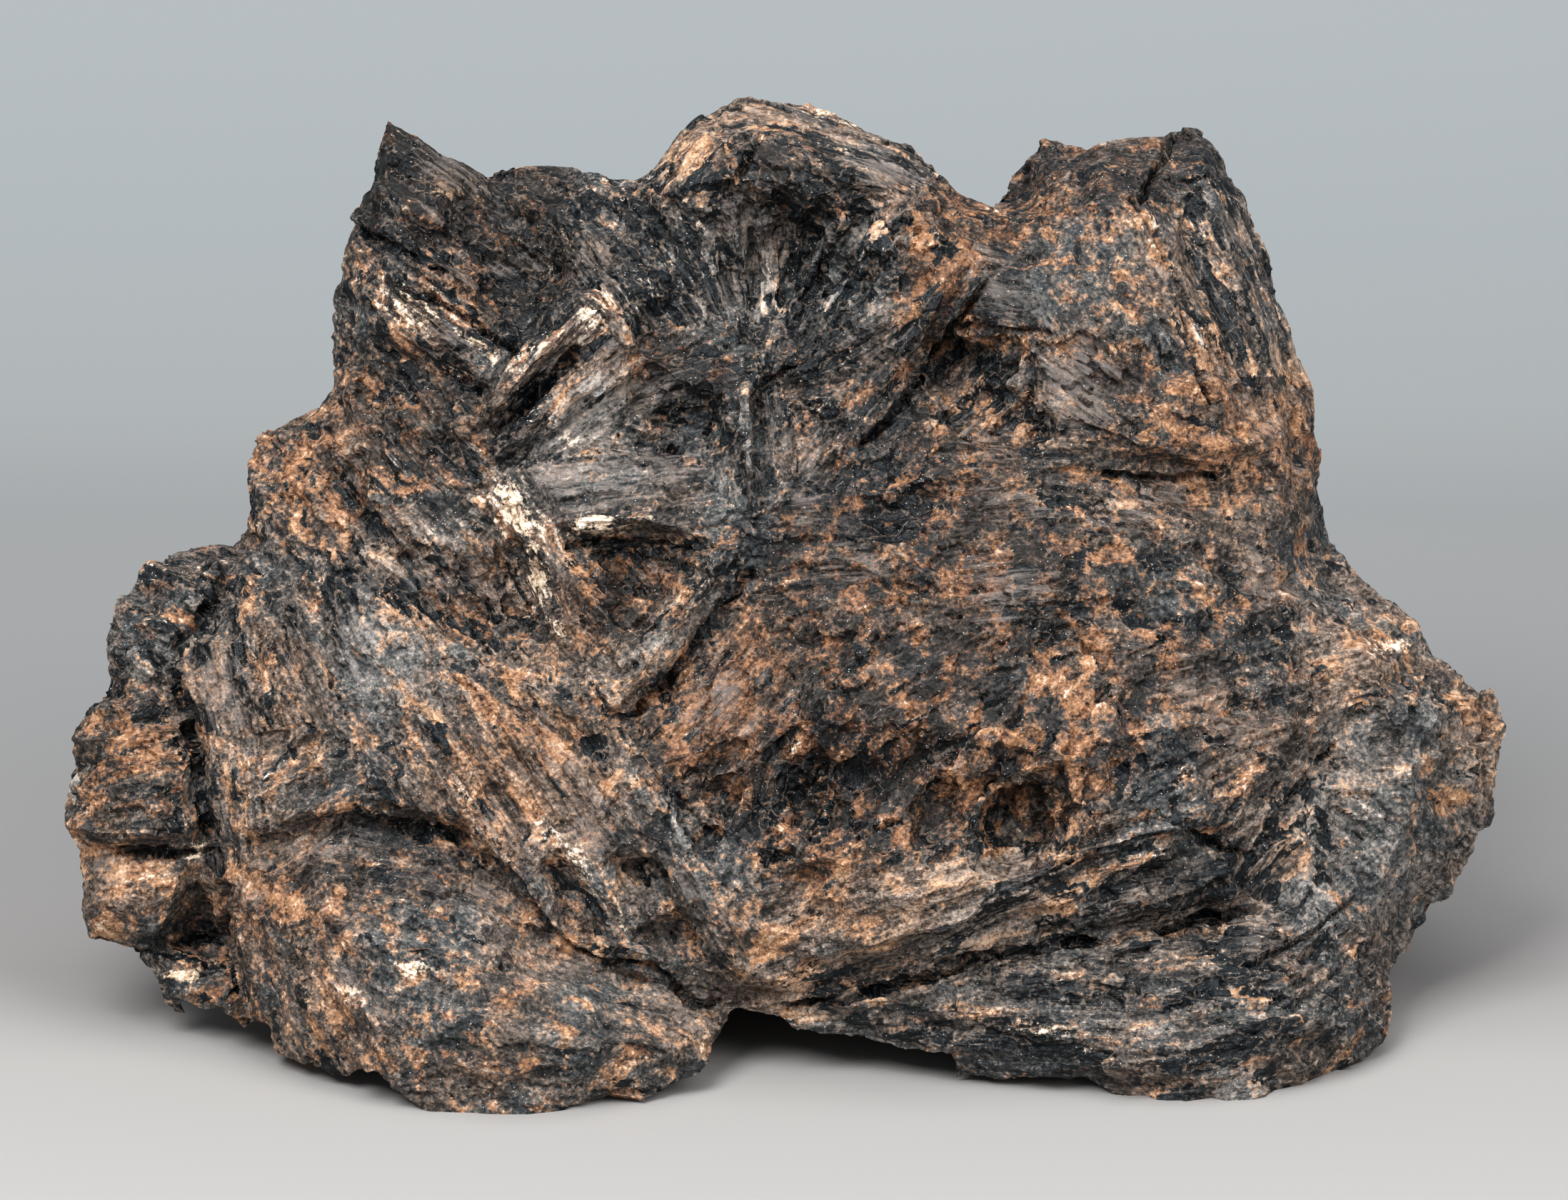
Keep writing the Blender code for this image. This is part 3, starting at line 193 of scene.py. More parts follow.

# Stains and bare patches, and painted shade: the black ones are partly the stone's black cleavage and partly
# painted shadow under ledges, blades and lips and in undercuts. In mm and degrees: (middle across, middle up,
# half length, half width, direction, strength).
STAINS = {
    "cream": (
        (-25.0, 71.4, 2.4, 1.0, -28, 0.9), (-28.6, 62.0, 2.6, 1.5, -35, 0.75),
        (-23.4, 59.0, 2.4, 0.5, -32, 0.8), (-15.2, 61.4, 2.0, 0.8, 42, 0.55),
        (-19.4, 59.2, 2.6, 0.5, 46, 0.25), (-20.6, 46.4, 2.4, 1.4, -60, 1.0),
        (-18.8, 41.6, 3.4, 0.9, -72, 0.9), (-17.6, 37.4, 1.6, 0.7, -50, 0.7), (-14.4, 45.4, 2.6, 0.8, 8, 0.8),
        (-10.2, 46.4, 1.6, 0.5, -10, 0.4), (-26.6, 46.0, 0.9, 0.7, 0, 0.9), (-16.3, 51.8, 1.2, 0.6, 40, 0.7),
        (-15.8, 19.6, 4.2, 0.7, -52, 0.65), (-12.4, 15.4, 1.6, 0.5, -60, 0.7),
        (-46.0, 10.6, 2.4, 0.6, -3, 0.8), (-45.2, 20.4, 0.9, 0.5, 20, 0.9), (-28.6, 11.2, 1.5, 0.6, 0, 0.7),
        (-33.6, 9.4, 1.4, 0.6, -35, 0.3), (4.6, 76.4, 3.4, 0.5, -18, 0.6), (-6.6, 68.8, 1.8, 0.4, -30, 0.6),
        (28.2, 67.8, 1.3, 0.8, -62, 0.7), (47.0, 36.0, 2.6, 0.7, 16, 0.6), (17.6, 22.0, 0.5, 0.9, 10, 0.6),
        (-24.4, 24.0, 2.2, 0.4, -66, 0.5), (20.4, 6.3, 0.7, 0.3, 0, 0.6), (27.3, 3.2, 0.6, 0.4, 0, 0.6),
        (44.8, 23.2, 1.4, 0.6, 10, 0.5), (-17.0, 66.6, 2.0, 0.35, -72, 0.7), (24.6, 31.6, 1.2, 0.6, 20, 0.4),
        (27.4, 57.8, 0.8, 0.8, 0, 0.5), (-5.0, 12.4, 1.8, 0.4, -50, 0.3), (-27.4, 34.4, 1.2, 0.5, -50, 0.4),
    ),
    "tan": (
        (-27.6, 61.2, 4.2, 2.6, -36, 0.8), (-22.6, 60.6, 2.6, 1.2, -34, 0.5),
        (-19.0, 59.6, 4.6, 1.1, 45, 0.4), (-13.6, 62.0, 1.6, 1.6, 0, 0.7), (-7.4, 74.2, 4.0, 1.6, 50, 0.7),
        (2.0, 77.0, 6.0, 1.3, -12, 0.7), (8.2, 73.8, 3.0, 1.2, -30, 0.4), (25.0, 67.0, 5.5, 3.4, -70, 0.6),
        (24.0, 60.8, 5.0, 3.4, -60, 0.45), (30.6, 54.8, 4.0, 1.2, -20, 0.4), (25.0, 51.6, 5.0, 1.4, -4, 0.6),
        (46.4, 36.2, 4.6, 2.2, 16, 0.8), (51.0, 33.6, 2.6, 1.6, -30, 0.6), (53.4, 30.0, 2.2, 1.2, -70, 0.8),
        (51.0, 24.6, 2.2, 1.2, 30, 0.5), (30.0, 32.6, 4.4, 1.8, 12, 0.6), (36.0, 30.6, 3.6, 1.8, -20, 0.5),
        (21.8, 16.6, 1.6, 1.0, 25, 0.8), (4.2, 18.6, 1.8, 1.4, 0, 0.7), (-1.6, 13.4, 3.4, 1.8, -30, 0.6),
        (6.6, 14.0, 3.0, 1.4, 20, 0.4), (-38.6, 17.4, 2.6, 2.2, 20, 0.7), (-34.2, 17.2, 2.2, 1.4, 0, 0.4),
        (-50.4, 27.8, 4.0, 2.8, 10, 0.4), (-49.0, 23.0, 3.2, 1.2, 5, 0.5), (-50.6, 17.0, 3.6, 2.8, 0, 0.7),
        (-27.2, 10.4, 4.6, 1.8, -30, 0.5), (-20.0, 29.8, 4.0, 1.8, -36, 0.6),
        (-24.4, 26.4, 3.0, 1.2, -56, 0.6), (-16.0, 25.0, 3.0, 1.2, -40, 0.4),
        (-40.6, 38.0, 4.0, 1.4, -62, 0.4), (-42.2, 28.0, 4.0, 1.2, -80, 0.3),
        (-34.6, 43.0, 3.4, 1.4, -40, 0.4), (-35.8, 39.4, 2.6, 0.8, -60, 0.4),
        (-10.6, 33.8, 2.0, 0.8, 45, 0.5), (-3.6, 30.2, 3.6, 1.6, 40, 0.5), (12.6, 64.8, 1.6, 2.2, 0, 0.6),
        (-30.6, 6.4, 3.4, 1.2, -30, 0.4), (-18.0, 7.4, 4.0, 1.2, -15, 0.3), (43.6, 12.2, 3.2, 1.2, 35, 0.4),
        (37.6, 9.8, 3.0, 0.8, 12, 0.3), (30.4, 6.2, 1.0, 0.6, 0, 0.5), (-13.2, 25.6, 2.2, 1.0, 30, 0.4),
        (4.2, 40.4, 3.0, 1.2, 20, 0.3), (20.4, 40.0, 3.0, 1.4, 10, 0.3), (-21.0, 45.0, 3.0, 2.0, -60, 0.5),
        (-17.4, 39.6, 2.8, 1.2, -62, 0.6), (8.4, 9.4, 3.4, 0.8, 8, 0.4),
    ),
    "rust": (
        (-36.4, 49.6, 3.2, 2.0, -55, 1.0), (-30.0, 55.4, 4.0, 2.6, -40, 0.3),
        (-27.0, 52.0, 3.0, 1.8, -45, 0.4), (-26.0, 38.6, 2.0, 1.4, -20, 0.9),
        (-13.4, 40.6, 2.4, 1.4, -40, 0.8), (-9.2, 41.8, 1.4, 1.0, 0, 0.7), (-4.2, 33.0, 3.6, 3.0, 50, 1.0),
        (1.4, 35.6, 3.2, 2.2, 30, 0.5), (6.2, 31.4, 3.4, 2.0, 10, 0.5), (12.4, 64.0, 2.2, 2.8, 10, 0.9),
        (17.4, 68.0, 4.0, 1.1, -12, 1.0), (15.9, 57.8, 1.6, 1.3, 40, 1.0), (28.0, 67.4, 1.6, 1.2, -60, 0.7),
        (36.4, 51.8, 4.6, 1.5, -6, 1.0), (33.2, 56.4, 1.6, 0.9, -60, 0.7), (38.8, 53.6, 1.6, 1.6, 0, 0.8),
        (53.6, 30.6, 2.6, 1.0, -70, 0.8), (51.2, 24.6, 1.8, 0.9, 20, 0.8), (-20.0, 30.2, 2.6, 1.2, -30, 0.6),
        (-14.6, 21.6, 1.6, 1.2, 0, 0.5), (-1.4, 13.2, 2.6, 1.4, -30, 0.7), (2.4, 17.2, 2.0, 1.4, 0, 0.5),
        (3.3, 24.8, 1.0, 0.8, 0, 0.9), (8.6, 26.6, 2.0, 1.6, 50, 0.5), (14.6, 26.6, 1.6, 2.6, 0, 0.6),
        (22.6, 26.0, 1.6, 2.4, 0, 0.5), (24.0, 35.0, 3.4, 1.8, 0, 0.4), (-50.8, 28.4, 3.0, 2.2, 10, 0.6),
        (-46.4, 8.4, 1.6, 0.8, 0, 0.6), (-52.4, 14.6, 1.6, 1.0, 30, 0.5), (-33.6, 13.4, 2.4, 1.0, -30, 0.4),
        (-24.0, 5.4, 3.0, 1.0, -15, 0.3), (-42.2, 20.6, 1.4, 1.2, 0, 0.6), (-3.6, 72.0, 2.6, 1.6, -40, 0.4),
        (30.1, 6.2, 0.6, 0.4, 0, 0.9), (14.8, 21.2, 1.0, 1.0, 0, 0.7), (16.3, 17.6, 1.2, 0.8, 0, 0.6),
        (-22.4, 36.8, 2.6, 1.6, -40, 0.5), (46.0, 32.6, 2.6, 1.4, 10, 0.4), (26.6, 30.0, 2.0, 1.0, 20, 0.4),
        (40.2, 33.0, 2.0, 1.6, 0, 0.4), (-8.0, 60.4, 1.6, 0.7, -40, 0.5), (-23.0, 64.6, 1.6, 1.4, 0, 0.4),
        (-20.4, 62.8, 1.6, 1.0, 40, 0.5), (8.2, 45.0, 2.4, 1.4, 20, 0.3), (44.6, 5.8, 1.6, 0.8, 20, 0.4),
        (-38.6, 45.2, 2.0, 1.2, -50, 0.5), (16.6, 39.6, 2.6, 1.4, 0, 0.3),
    ),
    # Partly the stone's black cleavage, partly painted shadow: dark strips under ledges, blades and lips, and
    # dark undercuts and hollows.
    "black": (
        (2.2, 66.0, 6.8, 4.8, 84, 1.0), (7.6, 63.6, 5.0, 2.2, 62, 0.8), (-3.6, 69.6, 3.0, 1.6, -60, 0.6),
        (-11.4, 66.2, 4.6, 3.4, -58, 0.6), (-21.4, 68.0, 3.4, 2.2, -30, 0.7), (-22.4, 65.2, 2.0, 1.6, 0, 0.5),
        (-19.8, 54.6, 3.6, 0.9, 44, 1.0), (-16.0, 58.4, 2.6, 0.8, 48, 0.8), (-27.8, 58.9, 3.2, 0.8, -22, 0.8),
        (-29.0, 67.0, 4.4, 0.7, -28, 0.9), (-25.8, 62.6, 4.6, 0.6, -34, 0.8), (-6.6, 53.6, 2.6, 1.2, 0, 0.8),
        (-1.0, 54.4, 3.2, 0.8, -76, 0.8), (12.8, 57.4, 1.8, 2.2, 20, 1.0), (14.6, 55.6, 1.6, 1.0, 30, 0.8),
        (18.0, 52.8, 2.2, 1.8, 40, 0.8), (4.0, 53.6, 2.6, 1.6, 50, 0.6), (9.2, 47.4, 2.4, 2.0, 0, 0.5),
        (-33.8, 48.0, 1.6, 1.2, 0, 0.9), (-30.6, 44.6, 1.6, 1.2, 0, 0.5), (-27.0, 43.4, 1.4, 1.1, -30, 0.9),
        (-26.8, 40.8, 1.6, 1.2, -40, 0.9), (-24.2, 44.6, 1.6, 1.2, -40, 0.7), (-20.2, 45.7, 0.9, 0.8, 0, 1.0),
        (-20.9, 41.0, 1.4, 0.8, -70, 1.0), (-20.0, 37.9, 1.3, 0.8, -70, 0.9),
        (-22.6, 39.2, 1.6, 1.0, -50, 0.6), (-16.2, 43.6, 1.2, 0.6, 0, 0.6), (-11.8, 43.1, 4.2, 0.7, 0, 0.9),
        (-15.6, 38.4, 2.4, 0.7, -60, 0.6), (-10.0, 38.6, 2.4, 0.8, 50, 0.5), (-5.6, 37.6, 5.4, 0.7, 53, 0.8),
        (1.2, 25.2, 4.0, 2.6, 20, 1.0), (-2.4, 22.6, 2.0, 1.6, 0, 0.8), (-5.0, 25.0, 1.6, 1.2, 0, 0.9),
        (-4.4, 20.6, 2.2, 1.2, -50, 0.8), (1.6, 20.8, 2.0, 1.2, 20, 0.6), (11.8, 27.9, 2.0, 1.4, 40, 0.9),
        (11.8, 23.4, 1.8, 1.6, 80, 0.9), (18.2, 22.6, 2.2, 2.6, 0, 1.0), (17.0, 27.0, 1.4, 2.0, 20, 0.5),
        (26.6, 26.4, 3.0, 1.5, 48, 0.9), (22.4, 30.6, 2.0, 1.2, 0, 0.6), (30.4, 39.2, 2.6, 1.5, 10, 0.6),
        (24.8, 46.4, 2.0, 1.5, 0, 0.8), (20.4, 37.4, 2.6, 1.6, 0, 0.5), (13.4, 40.6, 2.6, 1.6, 0, 0.5),
        (37.0, 37.0, 2.4, 1.4, 0, 0.5), (29.0, 48.9, 4.4, 0.5, 0, 0.8), (31.0, 17.4, 6.4, 1.8, 8, 0.9),
        (32.6, 15.0, 2.6, 0.7, 4, 1.0), (27.2, 12.6, 1.3, 0.5, 0, 1.0), (37.8, 21.4, 3.2, 0.8, 48, 0.6),
        (41.6, 26.2, 2.0, 1.0, 70, 0.9), (24.0, 9.4, 9.0, 1.4, 3, 0.6), (18.0, 5.0, 6.0, 0.8, -3, 0.6),
        (36.0, 5.2, 5.0, 0.8, 6, 0.6), (10.6, 11.4, 9.0, 0.5, 10, 0.7), (-16.2, 16.6, 2.2, 1.2, -60, 0.9),
        (-7.6, 14.2, 2.6, 1.2, -62, 0.9), (-11.2, 18.3, 1.4, 1.2, 0, 0.9), (-12.6, 12.6, 2.6, 0.5, -20, 0.7),
        (-28.0, 21.8, 3.6, 0.7, -8, 0.9), (-22.0, 18.6, 3.4, 0.5, -40, 0.8),
        (-19.4, 15.0, 2.4, 0.5, -60, 0.8), (-44.4, 13.8, 1.6, 2.0, 0, 1.0), (-45.4, 28.0, 5.6, 0.6, -76, 0.8),
        (-44.0, 19.0, 3.4, 0.5, -76, 0.8), (-49.0, 20.2, 3.6, 0.4, 0, 0.8), (-48.4, 42.0, 3.6, 1.3, -10, 0.7),
        (-49.4, 39.4, 2.0, 0.8, 10, 0.6), (-37.4, 33.4, 2.8, 0.5, -62, 0.6), (17.8, 71.0, 2.4, 1.6, 20, 1.0),
        (-34.0, 58.0, 1.6, 1.2, 0, 0.5), (34.4, 64.0, 5.6, 0.8, -66, 0.4), (-29.4, 73.4, 2.4, 1.2, -40, 0.5),
        (52.6, 27.0, 1.2, 0.8, 0, 0.6), (48.4, 29.4, 1.6, 1.0, 0, 0.4), (7.6, 21.4, 2.0, 1.2, 0, 0.6),
        (-8.6, 58.6, 2.6, 0.9, 10, 0.4), (-1.0, 61.0, 2.8, 1.6, 90, 0.7), (-30.4, 24.6, 2.4, 0.9, -20, 0.5),
        (-13.4, 29.6, 2.4, 0.8, 40, 0.4), (-9.0, 23.6, 2.4, 0.9, -50, 0.4),
    ),
    "grey": (
        (-13.4, 49.2, 6.4, 1.8, 8, 0.9), (-16.6, 53.0, 4.4, 1.4, 42, 0.5), (-4.0, 47.0, 3.0, 2.6, -60, 0.7),
        (6.0, 42.6, 5.6, 2.2, 10, 0.7), (1.0, 46.8, 3.0, 2.0, 60, 0.5), (17.6, 63.0, 3.2, 1.8, -10, 0.9),
        (7.6, 73.2, 2.6, 0.9, -24, 0.8), (-2.6, 50.4, 1.2, 5.0, 0, 0.5), (13.0, 61.6, 2.4, 0.8, 55, 0.5),
        (-32.4, 35.4, 3.0, 2.2, -50, 0.9), (-31.4, 9.4, 2.4, 1.2, -30, 0.7), (-29.4, 7.0, 2.0, 0.9, -30, 0.4),
        (-6.6, 17.6, 3.8, 1.0, -64, 0.8), (-13.0, 21.4, 2.4, 1.0, -56, 0.4), (22.6, 54.6, 4.0, 2.0, -20, 0.4),
        (45.0, 22.4, 3.4, 1.4, 10, 0.5), (46.8, 16.6, 3.4, 2.4, -40, 0.5), (-42.6, 32.0, 4.6, 1.2, -76, 0.5),
        (-24.0, 59.0, 2.8, 0.8, -26, 0.6), (36.4, 65.4, 4.0, 1.6, -66, 0.5), (22.0, 46.0, 5.0, 1.4, -4, 0.4),
        (-35.0, 21.0, 4.0, 1.0, 5, 0.4), (-49.4, 36.0, 2.4, 1.0, -30, 0.5), (17.4, 22.6, 0.7, 0.7, 0, 0.8),
        (38.4, 41.0, 3.0, 2.4, -40, 0.4), (-14.0, 9.6, 4.6, 1.0, -12, 0.4), (40.4, 16.6, 3.0, 2.0, 30, 0.4),
    ),
}

# Cracks of the broad face: (half width, depth) in mm, then the points (across, up) that they run through.
CRACKS = (
    (0.35, 1.1, (0.1, 8.1), (4.9, 8.9), (9.4, 10.1), (15.0, 12.0), (20.0, 12.9), (24.0, 13.4)),
    (0.25, 0.7, (28.8, 14.1), (32.6, 15.0), (36.6, 15.9)),
    (0.45, 1.3, (31.6, 15.1), (34.0, 15.4)),
    (0.25, 0.5, (25.4, 12.2), (28.3, 12.8)),
    (0.35, 1.1, (29.6, 75.2), (28.9, 72.8), (28.2, 71.8), (27.7, 70.5)),
    (0.30, 0.8, (-2.2, 75.0), (-3.0, 73.4), (-3.9, 71.3)),
    (0.35, 1.0, (-47.0, 34.0), (-46.0, 30.0), (-45.2, 27.0), (-44.7, 23.0), (-43.8, 19.5), (-43.3, 17.0),
     (-43.4, 13.0), (-42.5, 9.0), (-41.6, 7.0)),
    (0.35, 0.8, (-31.2, 22.5), (-28.8, 22.1), (-26.1, 21.8), (-23.8, 20.4), (-21.7, 18.7), (-20.0, 17.3),
     (-19.1, 15.4), (-17.3, 13.4), (-14.4, 11.7), (-10.0, 11.3), (-7.5, 8.9), (-5.2, 8.4)),
    (0.35, 0.9, (-51.0, 20.2), (-47.6, 20.0), (-44.6, 20.2)),
    (0.35, 1.0, (-43.6, 42.2), (-43.7, 40.2), (-45.4, 37.6), (-47.0, 36.2)),
    (0.30, 0.9, (24.8, 49.2), (29.0, 48.8), (33.2, 48.9)),
    (0.30, 0.9, (15.5, 63.8), (12.6, 60.0), (10.2, 56.3), (6.2, 51.5)),
    (0.30, 0.9, (0.6, 57.6), (-1.2, 56.5), (-1.9, 55.2), (-2.2, 52.6), (-1.6, 50.0)),
    (0.30, 0.8, (-22.2, 52.6), (-18.8, 55.6), (-16.0, 58.9)),
    (0.25, 0.7, (-16.5, 43.7), (-12.0, 43.9), (-7.4, 43.5)),
    (0.30, 0.8, (-33.4, 68.6), (-29.8, 66.6), (-26.6, 65.0)),
    (0.25, 0.7, (-30.0, 64.2), (-25.0, 61.8), (-20.8, 58.8)),
    (0.30, 0.8, (-2.6, 41.8), (-4.6, 38.7), (-6.8, 36.0), (-9.4, 32.8), (-12.2, 30.4)),
    (0.25, 0.7, (26.7, 70.6), (28.9, 68.0), (30.3, 64.8), (31.2, 61.0), (31.8, 57.6), (33.2, 54.6)),
    (0.25, 0.7, (17.8, 17.2), (25.0, 20.8), (31.0, 21.4), (36.0, 19.9), (40.3, 26.0), (42.2, 28.3)),
    (0.25, 0.6, (-38.0, 39.0), (-36.2, 35.6), (-35.0, 33.2), (-33.8, 31.2)),
    (0.25, 0.6, (13.8, 60.4), (17.0, 60.3), (20.4, 60.1)),
    (0.25, 0.6, (36.0, 11.6), (40.0, 13.6), (44.0, 16.6)),
)

# Thin blades that stand out of the broad face: (half width, height) in mm, then the points they run through.
BLADES = (
    (0.45, 0.6, (-24.7, 24.0), (-23.8, 21.9), (-23.2, 19.5)),
    (0.40, 0.5, (-18.0, 22.0), (-15.6, 19.2), (-13.2, 16.3), (-11.7, 14.5)),
    (0.40, 0.5, (-38.4, 39.3), (-36.6, 35.8), (-35.4, 33.4), (-34.0, 31.4)),
    (0.40, 0.5, (-17.4, 69.1), (-16.8, 67.0), (-16.0, 65.3)),
    (0.45, 0.5, (-2.9, 56.2), (-3.2, 53.8), (-3.0, 51.6), (-2.4, 49.4)),
    (0.45, 0.5, (15.2, 64.4), (9.8, 56.9), (5.8, 52.0)),
    (0.40, 0.4, (-25.4, 54.3), (-22.2, 57.5), (-19.8, 60.2), (-16.8, 62.8)),
    (0.40, 0.4, (-4.9, 39.9), (-7.4, 37.0), (-10.2, 34.0), (-13.0, 31.6)),
    (0.30, 0.4, (-6.5, 20.0), (-4.6, 16.0), (-2.8, 12.6)),
    (0.35, 0.4, (-24.2, 49.5), (-18.6, 52.3), (-14.6, 55.0), (-10.8, 58.0)),
    (0.30, 0.4, (0.6, 44.6), (4.6, 44.8), (8.6, 43.4), (11.4, 41.0)),
    (0.30, 0.4, (0.6, 42.6), (4.2, 42.8), (7.4, 41.6), (9.6, 39.6)),
)

# Spongy ground, where crystals stand up between small holes, in mm: (middle across, up, radius, depth).
SPONGY = (
    (-21.5, 66.5, 5, 0.5), (2, 66, 7, 0.5), (14, 56, 5, 0.6), (-25, 42, 6, 0.6), (-11.5, 40.5, 4, 0.4),
    (-7.5, 55, 5, 0.4), (2, 24, 7, 0.7), (13, 26, 6, 0.6), (20, 25, 6, 0.6), (24, 36, 9, 0.35),
    (8, 46, 6, 0.3), (-8, 22, 5, 0.4), (30, 40, 8, 0.3), (24, 60, 8, 0.25), (-33, 49, 5, 0.35),
    (50, 30, 5, 0.3), (8, 34, 6, 0.3),
)


def flat_on_face(places):
    """Across, up and out of the broad face's plane, in millimetres, of places in metres, as sighted."""
    offset = places - np.array(FACE_FOOT)
    axes = np.array([FACE_ACROSS, FACE_UP, FACE_OUT])
    across, up, out = (offset @ axes.T / MM).T
    spread = 1 - out / SIGHT_DISTANCE
    return np.stack([across / spread, SIGHT_UP + (up - SIGHT_UP) / spread, out], axis=1)


def along_grain(across, up, sheaf, degrees):
    """The place along and across the folia, in mm: straight, but for the sheaves that spread out as a fan."""
    angle = np.radians(degrees)
    along = np.cos(angle) * across + np.sin(angle) * up
    thwart = -np.sin(angle) * across + np.cos(angle) * up
    away, aside = up - FAN_FOOT[1], across - FAN_FOOT[0]
    fanned = np.isin(sheaf, [i for i, (name, *_) in enumerate(GRAIN) if name.startswith(FANNED)])
    along = np.where(fanned, np.hypot(away, aside), along)
    thwart = np.where(fanned, np.arctan2(away, aside) * FAN_REACH, thwart)
    return along, thwart


def sheaf_of(across, up):
    """For each point, the number of the sheaf whose grain it follows."""
    near = [np.hypot(across - x, up - v) / reach for x, v, reach in zip(SHEAF_ACROSS, SHEAF_UP, SHEAF_REACH)]
    return np.argmin(np.array(near), axis=0)


def near_line(across, up, points):
    """How far, in mm, each point is from a line through the given points."""
    nearest = np.full(len(across), np.inf)
    for (x0, v0), (x1, v1) in zip(points, points[1:]):
        run = np.array((x1 - x0, v1 - v0))
        along = np.clip(((across - x0) * run[0] + (up - v0) * run[1]) / (run @ run), 0, 1)
        nearest = np.minimum(nearest, np.hypot(across - x0 - along * run[0], up - v0 - along * run[1]))
    return nearest


def streakiness(step):
    """How much a sheaf's colours run along its folia, by how deep they are stepped: 0 at 0.10, 1 at 0.26."""
    return np.clip((step - 0.10) / 0.16, 0, 1)


def saw(t, rise=0.75):
    """A stepped edge: a slow rise over the first part of each turn, then a sharp drop, from -0.5 to 0.5."""
    t = t - np.floor(t)
    return np.where(t < rise, t / rise, (1 - t) / (1 - rise)) - 0.5


def turbulence(places, size, octaves, shift=0.0):
    """Fractal noise at each place, with features of this size in metres; the shift picks another part."""
    step = Vector((shift, shift * 1.7, shift * 0.6))
    return np.array([noise.fractal(Vector(p) / size + step, 0.8, 2.1, octaves) for p in places])


def drift(places, size, shift=0.0):
    """A noise vector at each place, about -1 to 1 each way; the shift picks another part."""
    step = Vector((shift, shift * 0.3, shift * 1.9))
    return np.array([noise.noise_vector(Vector(p) / size + step) for p in places])


def crystals(places, shift=0.0):
    """Cells of a random mosaic, one unit wide: how far from the cell's middle, and a random number a cell."""
    step = Vector((shift, shift, shift))
    off = np.empty(len(places))
    lot = np.empty(len(places))
    for i, p in enumerate(places):
        distances, seeds = noise.voronoi(Vector(p) + step)
        off[i] = distances[0]
        lot[i] = noise.cell(seeds[0] * 9.1)
    return off, lot


def share_facing(normals, slope, start):
    """How much each point belongs to the broad face: 1 where it faces out of it, 0 turned away from it."""
    return np.clip(normals @ np.array(FACE_OUT) * slope + start, 0, 1)


def refined_mesh(source):
    """The stone's mesh with its long edges halved until it can carry the fine relief."""
    shape = bmesh.new()
    shape.from_mesh(source)
    bmesh.ops.remove_doubles(shape, verts=shape.verts, dist=1e-6)
    for face in shape.faces:
        face.smooth = False
    for _ in range(HALVINGS):
        long_edges = []
        for edge in shape.edges:
            facing = (edge.verts[0].normal + edge.verts[1].normal).dot(FACE_OUT) / 2
            turned = min(1, max(0, (0.1 - facing) * 3))
            if edge.calc_length() > LONG * (FACE_EDGE + (BACK_EDGE - FACE_EDGE) * turned):
                long_edges.append(edge)
        if not long_edges:
            break
        bmesh.ops.subdivide_edges(shape, edges=long_edges, cuts=1)
        wide = [face for face in shape.faces if len(face.verts) > 3]
        bmesh.ops.triangulate(shape, faces=wide, quad_method="SHORT_EDGE")
        off_floor = [v for v in shape.verts if v.co.z > FLAT_BAND]
        bmesh.ops.smooth_vert(shape, verts=off_floor, factor=EASING, use_axis_x=True, use_axis_y=True,
                              use_axis_z=True)
        shape.normal_update()
    mesh = bpy.data.meshes.new("stone skin")
    shape.to_mesh(mesh)
    shape.free()
    return mesh


def strips_of(mesh):
    """The skin cut into upright strips with equally many faces, so that none is too heavy."""
    middles = np.empty(len(mesh.polygons) * 3, np.float32)
    mesh.polygons.foreach_get("center", middles)
    strip_of = np.argsort(np.argsort(middles[::3])) * STRIPS // len(mesh.polygons)
    strips = []
    for number in range(STRIPS):
        shape = bmesh.new()
        shape.from_mesh(mesh)
        others = [face for face, strip in zip(shape.faces, strip_of) if strip != number]
        bmesh.ops.delete(shape, geom=others, context="FACES")
        strip = bpy.data.meshes.new("stone skin")
        shape.to_mesh(strip)
        shape.free()
        strips.append(strip)
    return strips


def places_of(mesh):
    values = np.empty(len(mesh.vertices) * 3, np.float32)
    mesh.vertices.foreach_get("co", values)
    return values.reshape(-1, 3).astype(float)


def normals_of(mesh):
    values = np.empty(len(mesh.vertices) * 3, np.float32)
    mesh.vertex_normals.foreach_get("vector", values)
    return values.reshape(-1, 3).astype(float)


